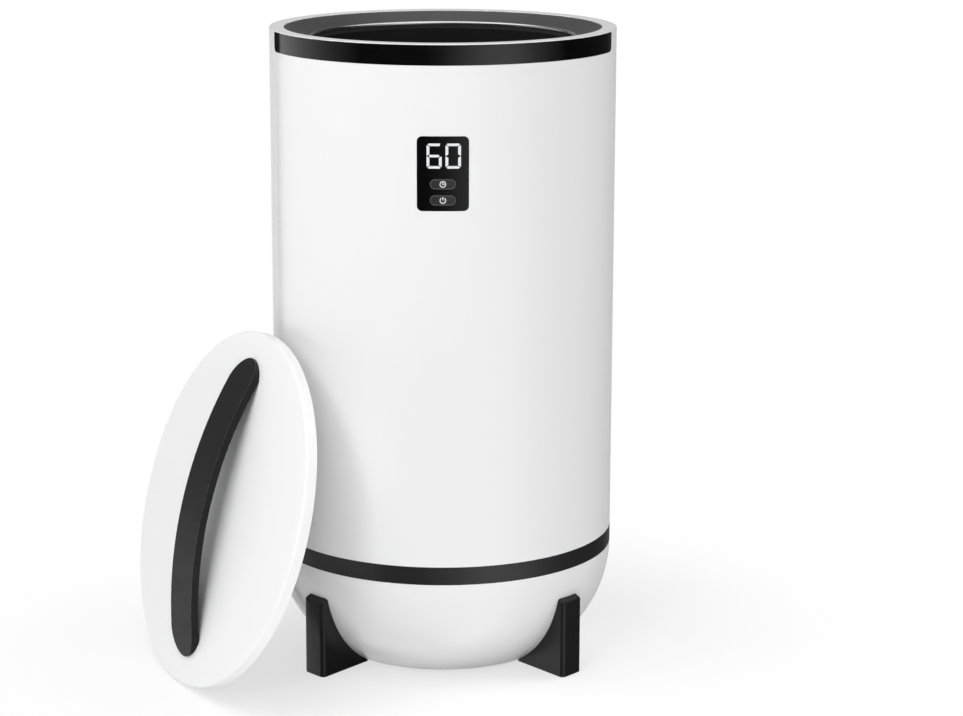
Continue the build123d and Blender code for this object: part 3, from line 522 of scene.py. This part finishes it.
def mesh_piece(name, vertices, faces, material, body):
    """A visible piece of these faces that rides on the named body."""
    mesh = bpy.data.meshes.new(name)
    mesh.from_pydata([tuple(point) for point in vertices], [], faces)
    mesh.validate()
    mesh.update()
    mesh.materials.append(material)
    made = bpy.data.objects.new(name, mesh)
    bpy.context.scene.collection.objects.link(made)
    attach(made, body)
    return made


def shade_smooth(made):
    """Shades a piece smooth, apart from its real edges."""
    made.data.shade_smooth()
    made.data.set_sharp_from_angle(angle=EDGE_ANGLE)


def turned_piece(name, profile, centre, normal, material, body, around=160):
    """A piece turned about a line, from a profile of radii and heights.

    A profile that doesn't start on the line is taken as a closed loop.
    """
    side = normal.orthogonal().normalized()
    other = normal.cross(side)
    vertices, rings = [], []
    for radius, height in profile:
        if radius == 0.0:
            rings.append([len(vertices)])
            vertices.append(centre + normal * height)
            continue
        rings.append(list(range(len(vertices), len(vertices) + around)))
        for step in range(around):
            turn = 2 * pi * step / around
            vertices.append(centre + normal * height + (side * cos(turn) + other * sin(turn)) * radius)
    if profile[0][0] > 0.0:
        rings.append(rings[0])
    faces = []
    for first, second in zip(rings, rings[1:]):
        for step in range(around):
            after = (step + 1) % around
            face = [first[step % len(first)], first[after % len(first)],
                    second[after % len(second)], second[step % len(second)]]
            faces.append(list(dict.fromkeys(face)))
    made = mesh_piece(name, vertices, faces, material, body)
    shade_smooth(made)
    return made


def cut_at(points, x, keep_left):
    """The part of a convex outline on one side of the upright line at x."""
    kept = []
    for index, (x_a, z_a) in enumerate(points):
        x_b, z_b = points[(index + 1) % len(points)]
        a_in = (x_a <= x) == keep_left or x_a == x
        b_in = (x_b <= x) == keep_left or x_b == x
        if a_in:
            kept.append((x_a, z_a))
        if a_in != b_in:
            share = (x - x_a) / (x_b - x_a)
            kept.append((x, z_a + share * (z_b - z_a)))
    return kept


def inset(points, margin):
    """A convex outline, listed anticlockwise, moved in by the margin."""
    moved = []
    count = len(points)
    for index in range(count):
        before, here, after = (Vector(points[(index + step) % count]) for step in (-1, 0, 1))
        first = (here - before).normalized()
        second = (after - here).normalized()
        bisector = Vector((-first.y, first.x)) + Vector((-second.y, second.x))
        moved.append(tuple(here + bisector * (2.0 * margin / bisector.length_squared)))
    return moved


def plates(outlines, back, front, step=0.001):
    """Thin plates of convex outlines, wrapped round the shell's curve between two radii."""
    vertices, faces = [], []
    for outline in outlines:
        low, high = min(x for x, z in outline), max(x for x, z in outline)
        count = ceil((high - low) / step)
        for index in range(count):
            strip = cut_at(outline, low + (high - low) * index / count, False) if index else outline
            if index < count - 1:
                strip = cut_at(strip, low + (high - low) * (index + 1) / count, True)
            start, size = len(vertices), len(strip)
            vertices += [on_curve(x, z, front) for x, z in strip]
            vertices += [on_curve(x, z, back) for x, z in strip]
            faces.append([start + n for n in range(size)])
            faces.append([start + size + n for n in reversed(range(size))])
            for n in range(size):
                m = (n + 1) % size
                faces.append([start + n, start + size + n, start + size + m, start + m])
    return vertices, faces


def band_along(path, width, back, front, closed):
    """A thin printed line of that width along a path, wrapped round the shell's curve."""
    vertices, faces = [], []
    count = len(path)
    for index, here in enumerate(path):
        before = path[index - 1] if closed or index else here
        after = path[(index + 1) % count] if closed or index < count - 1 else here
        along = (Vector(after) - Vector(before)).normalized()
        across = Vector((-along.y, along.x)) * width / 2
        for radius in (back, front):
            for side in (-1, 1):
                point = Vector(here) + across * side
                vertices.append(on_curve(point.x, point.y, radius))
    for index in range(count if closed else count - 1):
        a, b = 4 * index, 4 * ((index + 1) % count)
        for first, second in ((0, 2), (2, 3), (3, 1), (1, 0)):
            faces.append([a + first, a + second, b + second, b + first])
    if not closed:
        end = 4 * (count - 1)
        faces += [[0, 1, 3, 2], [end, end + 2, end + 3, end + 1]]
    return vertices, faces


def digit_segments(left, right, bottom, top, upright, level, gap):
    """The seven segments of one digit as outlines listed anticlockwise, keyed by place."""
    middle = (bottom + top) / 2
    cut = SEGMENT_CHAMFER
    corner_x, corner_z = cut * 0.25, top - cut * 0.75
    flat = {}
    flat["top"] = [(left + cut, top), (left + corner_x, corner_z), (left + upright, top - level),
                   (right - upright, top - level), (right - corner_x, corner_z), (right - cut, top)]
    flat["top_slanted"] = [(left + cut, top), (left + corner_x, corner_z), (left + upright, top - level),
                           (right - upright + SEGMENT_SLANT, top - level), (right - SEGMENT_SLANT, top)]
    flat["upper_left"] = [(left, top - cut), (left, middle + SEGMENT_SLIP * 0.3),
                          (left + SEGMENT_SLIP, middle), (left + upright, middle + level / 2),
                          (left + upright, top - level), (left + corner_x, corner_z)]
    flat["centre"] = [(left + SEGMENT_TIP, middle), (left + upright, middle - level / 2),
                      (right - upright, middle - level / 2), (right - SEGMENT_TIP, middle),
                      (right - upright, middle + level / 2), (left + upright, middle + level / 2)]

    def mirrored(outline):
        return [(left + right - x, z) for x, z in reversed(outline)]

    def flipped(outline):
        return [(x, 2 * middle - z) for x, z in reversed(outline)]

    flat["upper_right"] = mirrored(flat["upper_left"])
    flat["lower_left"] = flipped(flat["upper_left"])
    flat["lower_right"] = flipped(flat["upper_right"])
    flat["bottom"] = flipped(flat["top"])
    return {place: inset(outline, gap / 2) for place, outline in flat.items()}


# ---------------------------------------------------------------- operators, one for each kind of piece
class WARMER_OT_outer_shell(bpy.types.Operator):
    """Finish the white shell, its lip, the base bowl and the black bands"""

    bl_idname = "warmer.outer_shell"
    bl_label = "Body and bands"

    def execute(self, context):
        colours = context.scene.warmer_colours
        white = moulded_plastic("Body gloss white", colours.shell, 0.2, grain=0.1, wave=1.0,
                                wave_size=0.05, depth=0.00004, drift=0.008, smear=0.04, dust=0.02)
        dress(white, "outer_shell", "rim_ring", "base_bowl")
        dress(moulded_plastic("Band gloss black", colours.trim, 0.06, grain=0.05, wave=1.0, wave_size=0.03,
                              depth=0.00001, drift=0.1, smear=0.05, dust=0.02, wear_and_highlight_colour=(0.1, 0.1, 0.1)),
              "upper_band")
        dress(moulded_plastic("Belt satin black", colours.belt, 0.36, grain=0.5, depth=0.00002, drift=0.1,
                              smear=0.06, dust=0.04, wear_and_highlight_colour=(0.12, 0.12, 0.12)), "lower_band")
        return {"FINISHED"}


class WARMER_OT_mouth(bpy.types.Operator):
    """Finish the collar round the mouth, the inner bucket and its gasket"""

    bl_idname = "warmer.mouth"
    bl_label = "Collar and inner bucket"

    def execute(self, context):
        colours = context.scene.warmer_colours
        dress(moulded_plastic("Collar satin grey", colours.collar, 0.34, grain=0.6, grain_size=0.0005,
                              depth=0.00002, drift=0.06, smear=0.06, dust=0.03, wear_and_highlight_colour=(0.15, 0.15, 0.15)),
              "collar")
        dress(coated_metal("Bucket dark coating", colours.coating), "inner_bucket")
        dress(soft_rubber("Gasket rubber", (0.03, 0.03, 0.03)), "bucket_gasket")
        self.make_bead(brushed_metal("Bead polished steel", (0.8, 0.8, 0.81), 0.14))
        return {"FINISHED"}

    @staticmethod
    def make_bead(material):
        """A thin polished bead over the rounded inner edge of the collar."""
        radius, height = BEAD_CENTRE
        turns = [radians(BEAD_START - BEAD_SWEEP * step / BEAD_STEPS) for step in range(BEAD_STEPS + 1)]
        profile = [(radius + BEAD_PROUD * cos(turn), height + BEAD_PROUD * sin(turn)) for turn in turns]
        profile += [(radius + BEAD_SUNK * cos(turn), height + BEAD_SUNK * sin(turn))
                    for turn in reversed(turns)]
        turned_piece("mouth_bead", profile, Vector((0.0, 0.0, 0.0)), Vector((0.0, 0.0, 1.0)), material,
                     "bucket", around=240)


class WARMER_OT_feet(bpy.types.Operator):
    """Finish the four fin feet, their soles, the cord gland and the cover under the base"""

    bl_idname = "warmer.feet"
    bl_label = "Feet and underside"

    def execute(self, context):
        colours = context.scene.warmer_colours
        # The lighter edges of the feet and the cord gland are mostly a painted highlight along their
        # rounded edges, with a little wear.
        black = moulded_plastic("Fittings satin black", colours.fittings, 0.2, grain=0.3,
                                grain_size=0.0004, depth=0.000015, drift=0.1, smear=0.05, dust=0.015,
                                wear=0.9, wear_and_highlight_colour=(0.16, 0.16, 0.16), **{"Specular IOR Level": 0.22})
        feet = ("front_left", "front_right", "rear_right", "rear_left")
        dress(black, "cord_gland", *("foot_" + place for place in feet))
        for place in feet:
            self.make_fin(place, black)
        dress(soft_rubber("Sole rubber", (0.035, 0.035, 0.035)), "foot_soles")
        dress(moulded_plastic("Cover moulded white", (0.8, 0.8, 0.79), 0.5, grain=0.8, grain_size=0.0009,
                              depth=0.00004, drift=0.03), "base_cover")
        return {"FINISHED"}

    @staticmethod
    def make_fin(place, material):
        """A foot with a broader fin and a higher shoulder than the solid's."""
        solid = NODES["foot_" + place].data
        low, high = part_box("foot_" + place)
        middle = (low + high) / 2
        outward = Vector((middle.x, middle.y, 0.0)).normalized()
        across = Vector((-outward.y, outward.x, 0.0))
        forward = FIN_SHIFT if across.y < 0.0 else -FIN_SHIFT
        vertices = []
        for vertex in solid.vertices:
            here = vertex.co
            aside = here.dot(across) * (FIN_BREADTH - 1.0) + forward
            share = min(1.0, max(0.0, (here.z - SHOULDER_START) / SHOULDER_DEPTH))
            rise = FIN_RISE * share * share * (3.0 - 2.0 * share)
            vertices.append(here + across * aside + Vector((0.0, 0.0, rise)))
        faces = [tuple(face.vertices) for face in solid.polygons]
        made = mesh_piece("fin_" + place, vertices, faces, material, "bucket")
        shade_smooth(made)
        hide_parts("foot_" + place)


class WARMER_OT_fasteners(bpy.types.Operator):
    """Finish every screw, strap and clip in plated steel"""

    bl_idname = "warmer.fasteners"
    bl_label = "Fasteners"

    def execute(self, context):
        dress(brushed_metal("Screw plated steel", (0.6, 0.6, 0.61), 0.3), "foot_screws", "cover_screws",
              "power_board_screws", "board_screws", "underside_screws", "plug_screws", "handle_screws")
        dress(brushed_metal("Strap sheet steel", (0.55, 0.55, 0.56), 0.35), "heater_straps", "thermostat",
              "thermal_fuse", "fuse_clip")
        return {"FINISHED"}


class WARMER_OT_heating(bpy.types.Operator):
    """Finish the heater mat, its insulation, the heat shield and the bucket's support"""

    bl_idname = "warmer.heating"
    bl_label = "Heater and insulation"

    def execute(self, context):
        dress(heating_mat("Heater silicone mat", (0.7, 0.24, 0.06)), "heater_film")
        dress(felted_wool("Insulation felt", (0.82, 0.81, 0.77)), "insulation_wrap")
        dress(crinkled_foil("Shield aluminium", (0.8, 0.8, 0.81)), "heat_shield")
        dress(moulded_plastic("Support moulded grey", (0.32, 0.32, 0.33), 0.55, grain=0.9,
                              grain_size=0.0008, depth=0.00004, drift=0.06, wear_and_highlight_colour=(0.5, 0.5, 0.5)),
              "pot_support", "panel_carrier")
        return {"FINISHED"}


class WARMER_OT_electronics(bpy.types.Operator):
    """Finish the circuit boards, the switches behind the buttons and the leads"""

    bl_idname = "warmer.electronics"
    bl_label = "Boards and leads"

    def execute(self, context):
        dress(printed_board("Board solder mask", (0.03, 0.2, 0.07)), "power_board", "control_board")
        dress(moulded_plastic("Switch moulded grey", (0.2, 0.2, 0.2), 0.45, grain=0.6, grain_size=0.0004,
                              depth=0.00002, wear_and_highlight_colour=(0.4, 0.4, 0.4)), "tact_switches")
        dress(soft_rubber("Lead sheath", (0.06, 0.06, 0.06), 0.5), "panel_lead", "heater_lead")
        return {"FINISHED"}


class WARMER_OT_display(bpy.types.Operator):
    """Finish the display window and make its lit number"""

    bl_idname = "warmer.display"
    bl_label = "Display"

    def execute(self, context):
        colours, sizes = context.scene.warmer_colours, context.scene.warmer_display
        glass = moulded_plastic("Window gloss black", colours.trim, 0.05, grain=0.0, wave=1.0,
                                wave_size=0.04, depth=0.000004, drift=0.1, smear=0.03, dust=0.01,
                                wear=0.0, **{"Specular IOR Level": 0.35})
        dress(glass, "panel_window", "digit_display")
        outlines = []
        for left, right, places in SHOWN_DIGITS:
            segments = digit_segments(left, right, sizes.digit_bottom, sizes.digit_top, sizes.upright,
                                      sizes.level, sizes.segment_gap)
            outlines += [segments[place] for place in places]
        vertices, faces = plates(outlines, *DIGIT_LAYER)
        mesh_piece("display_digits", vertices, faces, lit_segments("Digits lit white", colours.digits),
                   "bucket")
        return {"FINISHED"}


class WARMER_OT_buttons(bpy.types.Operator):
    """Finish the two buttons, print their symbols and paint a highlight line round each button's edge"""

    bl_idname = "warmer.buttons"
    bl_label = "Buttons"

    def execute(self, context):
        colours, sizes = context.scene.warmer_colours, context.scene.warmer_display
        dress(moulded_plastic("Button satin black", colours.button, 0.3, grain=0.4, grain_size=0.0003,
                              depth=0.00001, drift=0.1, smear=0.08, dust=0.02, wear=0.3,
                              wear_and_highlight_colour=(0.12, 0.12, 0.12)), "timer_button", "power_button")
        ink = printed_ink("Symbol ink", colours.symbols)
        # A grey of the same ink paints a light line round each button's edge, standing in for the highlight
        # there.
        highlight_ink = printed_ink("Outline ink", tuple(EDGE_HIGHLIGHT_TONE * part for part in colours.symbols))
        for name, symbol_marks in (("timer", self.timer_marks), ("power", self.power_marks)):
            low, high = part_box(name + "_button")
            height = (low.z + high.z) / 2
            self.print_outline(name, height, sizes.outline, highlight_ink)
            vertices, faces = [], []
            for path, closed in symbol_marks(height, sizes):
                more_vertices, more_faces = band_along(path, sizes.symbol_line, *INK_LAYER, closed)
                faces += [[index + len(vertices) for index in face] for face in more_faces]
                vertices += more_vertices
            mesh_piece(name + "_symbol", vertices, faces, ink, name + "_button")
        return {"FINISHED"}

    @staticmethod
    def print_outline(name, height, width, ink):
        """A thin painted highlight line round a button's face, a little inside its edge."""
        corner = EDGE_HIGHLIGHT_HALF_HEIGHT
        path = []
        for side, start in ((1, -90), (-1, 90)):
            for step in range(13):
                turn = radians(start + 15 * step)
                path.append((side * (EDGE_HIGHLIGHT_HALF_LENGTH - corner) + corner * cos(turn),
                             height + corner * sin(turn)))
        spread = []
        for index, here in enumerate(path):
            after = path[(index + 1) % len(path)]
            pieces = max(1, ceil((Vector(after) - Vector(here)).length / EDGE_HIGHLIGHT_STEP))
            spread += [tuple(Vector(here).lerp(Vector(after), n / pieces)) for n in range(pieces)]
        vertices, faces = band_along(spread, width, *INK_LAYER, True)
        mesh_piece(name + "_outline", vertices, faces, ink, name + "_button")

    @staticmethod
    def timer_marks(height, sizes):
        """A clock: a ring with an upright and a level hand."""
        radius = sizes.symbol_radius - sizes.symbol_line / 2
        turns = [2 * pi * n / CLOCK_STEPS for n in range(CLOCK_STEPS)]
        ring = [(radius * cos(turn), height + radius * sin(turn)) for turn in turns]
        upright = [(0.0, height + CLOCK_UPRIGHT * radius), (0.0, height - sizes.symbol_line / 2)]
        level = [(0.0, height), (CLOCK_LEVEL * radius, height)]
        return (ring, True), (upright, False), (level, False)

    @staticmethod
    def power_marks(height, sizes):
        """A ring open at the top with a bar in the opening."""
        radius = sizes.symbol_radius - sizes.symbol_line / 2
        turns = [radians(POWER_START + POWER_SWEEP * n / POWER_STEPS) for n in range(POWER_STEPS + 1)]
        arc = [(radius * cos(turn), height + radius * sin(turn)) for turn in turns]
        bar = [(0.0, height + BAR_TOP * radius), (0.0, height + BAR_BOTTOM * radius)]
        return (arc, False), (bar, False)


class WARMER_OT_lid(bpy.types.Operator):
    """Finish the lid, its underside, plug, seal and insulation"""

    bl_idname = "warmer.lid"
    bl_label = "Lid"

    def execute(self, context):
        colours = context.scene.warmer_colours
        dress(moulded_plastic("Lid satin white", colours.lid, 0.34, grain=0.3, wave=0.8, wave_size=0.05,
                              depth=0.00003, drift=0.008, smear=0.05, dust=0.02), "lid_top")
        inner_white = moulded_plastic("Underside satin white", colours.lid, 0.42, grain=0.7,
                                      grain_size=0.0007, depth=0.00003, drift=0.015)
        dress(inner_white, "lid_underside", "lid_plug")
        self.make_plug(inner_white)
        dress(soft_rubber("Seal silicone grey", (0.42, 0.42, 0.43), 0.6), "lid_seal")
        dress(closed_foam("Lid insulation foam", (0.85, 0.82, 0.72)), "lid_foam")
        return {"FINISHED"}

    @staticmethod
    def make_plug(material):
        """The plug's cup with a well rounded rim at its closed end."""
        flat = PLUG_RADIUS - PLUG_CORNER
        start = PLUG_CORNER - PLUG_DEPTH
        inner = PLUG_CORNER - PLUG_WALL
        profile = [(0.0, -PLUG_DEPTH)]
        profile += [(flat + PLUG_CORNER * sin(turn), start - PLUG_CORNER * cos(turn))
                    for turn in CORNER_TURNS]
        profile += [(PLUG_RADIUS, 0.0), (PLUG_FLANGE, 0.0), (PLUG_FLANGE, -PLUG_WALL),
                    (PLUG_RADIUS - PLUG_WALL, -PLUG_WALL)]
        profile += [(flat + inner * sin(turn), start - inner * cos(turn))
                    for turn in reversed(CORNER_TURNS)]
        profile.append((0.0, PLUG_WALL - PLUG_DEPTH))
        made = turned_piece("plug_cup", profile, LID_CENTRE, LID_NORMAL, material, "lid")
        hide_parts("lid_plug")


class WARMER_OT_handle(bpy.types.Operator):
    """Finish the arched strap handle"""

    bl_idname = "warmer.handle"
    bl_label = "Handle"

    def execute(self, context):
        # The lighter edges of the handle are mostly a painted highlight along its rounded edges, with a
        # little wear.
        dress(moulded_plastic("Handle satin black", context.scene.warmer_colours.fittings, 0.4, grain=0.4,
                              grain_size=0.0004, depth=0.000015, drift=0.1, smear=0.06, dust=0.02,
                              wear=0.9, wear_and_highlight_colour=(0.14, 0.14, 0.14), **{"Specular IOR Level": 0.15}),
              "lid_handle")
        return {"FINISHED"}


class WARMER_OT_stage(bpy.types.Operator):
    """Make the pale floor, the soft studio light, the white surroundings and the camera"""

    bl_idname = "warmer.stage"
    bl_label = "Studio stage"

    def execute(self, context):
        levels = context.scene.warmer_stage
        self.make_floor(levels)
        self.make_world(context.scene, levels)
        for name, place, size in SOFTBOXES:
            self.make_light(name + "_softbox", place, size, getattr(levels, name + "_box"))
        camera = bpy.data.objects.new("camera", bpy.data.cameras.new("camera"))
        context.scene.collection.objects.link(camera)
        camera.location = (0.0, -2.4014, 0.8187)
        camera.rotation_euler = (radians(77.103), 0.0, 0.0)
        camera.data.shift_x = 0.0401
        camera.data.sensor_width = 36.0
        camera.data.lens = 100.29
        context.scene.camera = camera
        context.scene.view_settings.view_transform = "Standard"
        return {"FINISHED"}

    @staticmethod
    def make_floor(levels):
        """A pale floor that keeps the object's shadow and turns white further off."""
        half = FLOOR_HALF
        mesh = bpy.data.meshes.new("studio_floor")
        mesh.from_pydata([(-half, -half, 0), (half, -half, 0), (half, half, 0), (-half, half, 0)], [],
                         [(0, 1, 2, 3)])
        floor = bpy.data.objects.new("studio_floor", mesh)
        bpy.context.scene.collection.objects.link(floor)
        floor.visible_glossy = False
        material = bpy.data.materials.new("Studio floor")
        material.use_nodes = True
        material.node_tree.nodes.clear()
        mesh.materials.append(material)
        wiring = Wiring(material.node_tree)
        rays = wiring.add("ShaderNodeLightPath").outputs
        seen = wiring.maths("MAXIMUM", rays["Is Camera Ray"],
                            wiring.maths("MAXIMUM", rays["Is Glossy Ray"], rays["Is Transmission Ray"]))
        place = wiring.add("ShaderNodeNewGeometry").outputs["Position"]
        away = wiring.add("ShaderNodeVectorMath", {0: place, 1: FLOOR_CENTRE},
                          operation="DISTANCE").outputs["Value"]
        share = wiring.maths("MULTIPLY", seen,
                             wiring.ramp(away, FLOOR_NEAR, FLOOR_FAR, FLOOR_WHITE, 1.0))
        tone = wiring.blend(wiring.noise(place, 3.0, 2.0), tuple(levels.floor),
                            tuple(0.985 * part for part in levels.floor))
        painted = wiring.add("ShaderNodeBsdfDiffuse", {"Color": tone}).outputs[0]
        white = wiring.add("ShaderNodeEmission", {"Color": WHITE, "Strength": 1.0}).outputs[0]
        mixed = wiring.add("ShaderNodeMixShader", {0: share, 1: painted, 2: white}).outputs[0]
        wiring.add("ShaderNodeOutputMaterial", {"Surface": mixed})

    @staticmethod
    def make_world(scene, levels):
        """An even sky, a white backdrop, and the surroundings that only the gloss shows."""
        world = bpy.data.worlds.new("Studio")
        world.use_nodes = True
        world.node_tree.nodes.clear()
        scene.world = world
        wiring = Wiring(world.node_tree)
        toward = wiring.add("ShaderNodeSeparateXYZ", {
            "Vector": wiring.add("ShaderNodeTexCoord").outputs["Generated"]}).outputs
        forward = wiring.maths("MULTIPLY", toward["Y"], -1.0)
        azimuth = wiring.maths("MULTIPLY", wiring.maths("ARCTAN2", toward["X"], forward), 180.0 / pi)
        height = toward["Z"]

        around = wiring.add("ShaderNodeValToRGB", {
            "Fac": wiring.ramp(azimuth, -180.0, 180.0, kind="LINEAR")})
        stops = around.color_ramp.elements
        stops.remove(stops[1])
        for index, (turn, level) in enumerate(SURROUNDINGS):
            stop = stops.new(turn / 360.0 + 0.5) if index else stops[0]
            share = level / HIGHEST_LEVEL
            stop.color = (share, share, share, 1.0)
        ring = wiring.maths("MULTIPLY", around.outputs["Color"], HIGHEST_LEVEL)
        lit = wiring.maths("MULTIPLY", ring, wiring.ramp(height, *HORIZON, 1.0, levels.room))
        lit = wiring.maths("ADD", lit, wiring.ramp(height, *OVERHEAD, 0.0, levels.overhead))
        studio, sky, white = (
            wiring.add("ShaderNodeBackground", {"Color": WHITE, "Strength": strength}).outputs[0]
            for strength in (lit, levels.sky, 1.0))
        rays = wiring.add("ShaderNodeLightPath").outputs
        lighting = wiring.add("ShaderNodeMixShader",
                              {0: rays["Is Glossy Ray"], 1: sky, 2: studio}).outputs[0]
        seen = wiring.maths("MAXIMUM", rays["Is Camera Ray"], rays["Is Transmission Ray"])
        mixed = wiring.add("ShaderNodeMixShader", {0: seen, 1: lighting, 2: white}).outputs[0]
        wiring.add("ShaderNodeOutputWorld", {"Surface": mixed})

    @staticmethod
    def make_light(name, place, size, power):
        """A softbox that neither the camera nor the gloss sees."""
        lamp = bpy.data.lights.new(name, "AREA")
        lamp.shape = "RECTANGLE"
        lamp.size, lamp.size_y = size
        lamp.energy = power
        made = bpy.data.objects.new(name, lamp)
        bpy.context.scene.collection.objects.link(made)
        made.location = place
        made.rotation_mode = "QUATERNION"
        made.rotation_quaternion = (LIGHT_AIM - Vector(place)).to_track_quat("-Z", "Y")
        made.visible_glossy = False
        made.visible_camera = False


OPERATORS = (
    WARMER_OT_outer_shell,
    WARMER_OT_mouth,
    WARMER_OT_feet,
    WARMER_OT_fasteners,
    WARMER_OT_heating,
    WARMER_OT_electronics,
    WARMER_OT_display,
    WARMER_OT_buttons,
    WARMER_OT_lid,
    WARMER_OT_handle,
    WARMER_OT_stage,
)


class WARMER_PT_sidebar(bpy.types.Panel):
    """Lists the finishes, sizes and steps"""

    bl_idname = "WARMER_PT_sidebar"
    bl_label = "Towel Warmer Bucket"
    bl_space_type = "VIEW_3D"
    bl_region_type = "UI"
    bl_category = "Towel Warmer"

    def draw(self, context):
        scene = context.scene
        for title, group in (("Colours", scene.warmer_colours), ("Display", scene.warmer_display),
                             ("Stage", scene.warmer_stage)):
            box = self.layout.box()
            box.label(text=title)
            for name in group.__annotations__:
                box.prop(group, name)
        steps = self.layout.column(align=True)
        for operator in OPERATORS:
            steps.operator(operator.bl_idname)


GROUPS = (WarmerColours, WarmerDisplay, WarmerStage)
CLASSES = (*GROUPS, *OPERATORS, WARMER_PT_sidebar)


def register():
    for made in CLASSES:
        bpy.utils.register_class(made)
    bpy.types.Scene.warmer_colours = bpy.props.PointerProperty(type=WarmerColours)
    bpy.types.Scene.warmer_display = bpy.props.PointerProperty(type=WarmerDisplay)
    bpy.types.Scene.warmer_stage = bpy.props.PointerProperty(type=WarmerStage)


def unregister():
    del bpy.types.Scene.warmer_stage
    del bpy.types.Scene.warmer_display
    del bpy.types.Scene.warmer_colours
    for made in reversed(CLASSES):
        bpy.utils.unregister_class(made)


def main():
    register()
    bpy.ops.warmer.outer_shell()
    bpy.ops.warmer.mouth()
    bpy.ops.warmer.feet()
    bpy.ops.warmer.fasteners()
    bpy.ops.warmer.heating()
    bpy.ops.warmer.electronics()
    bpy.ops.warmer.display()
    bpy.ops.warmer.buttons()
    bpy.ops.warmer.lid()
    bpy.ops.warmer.handle()
    bpy.ops.warmer.stage()


if __name__ == "__main__":
    main()
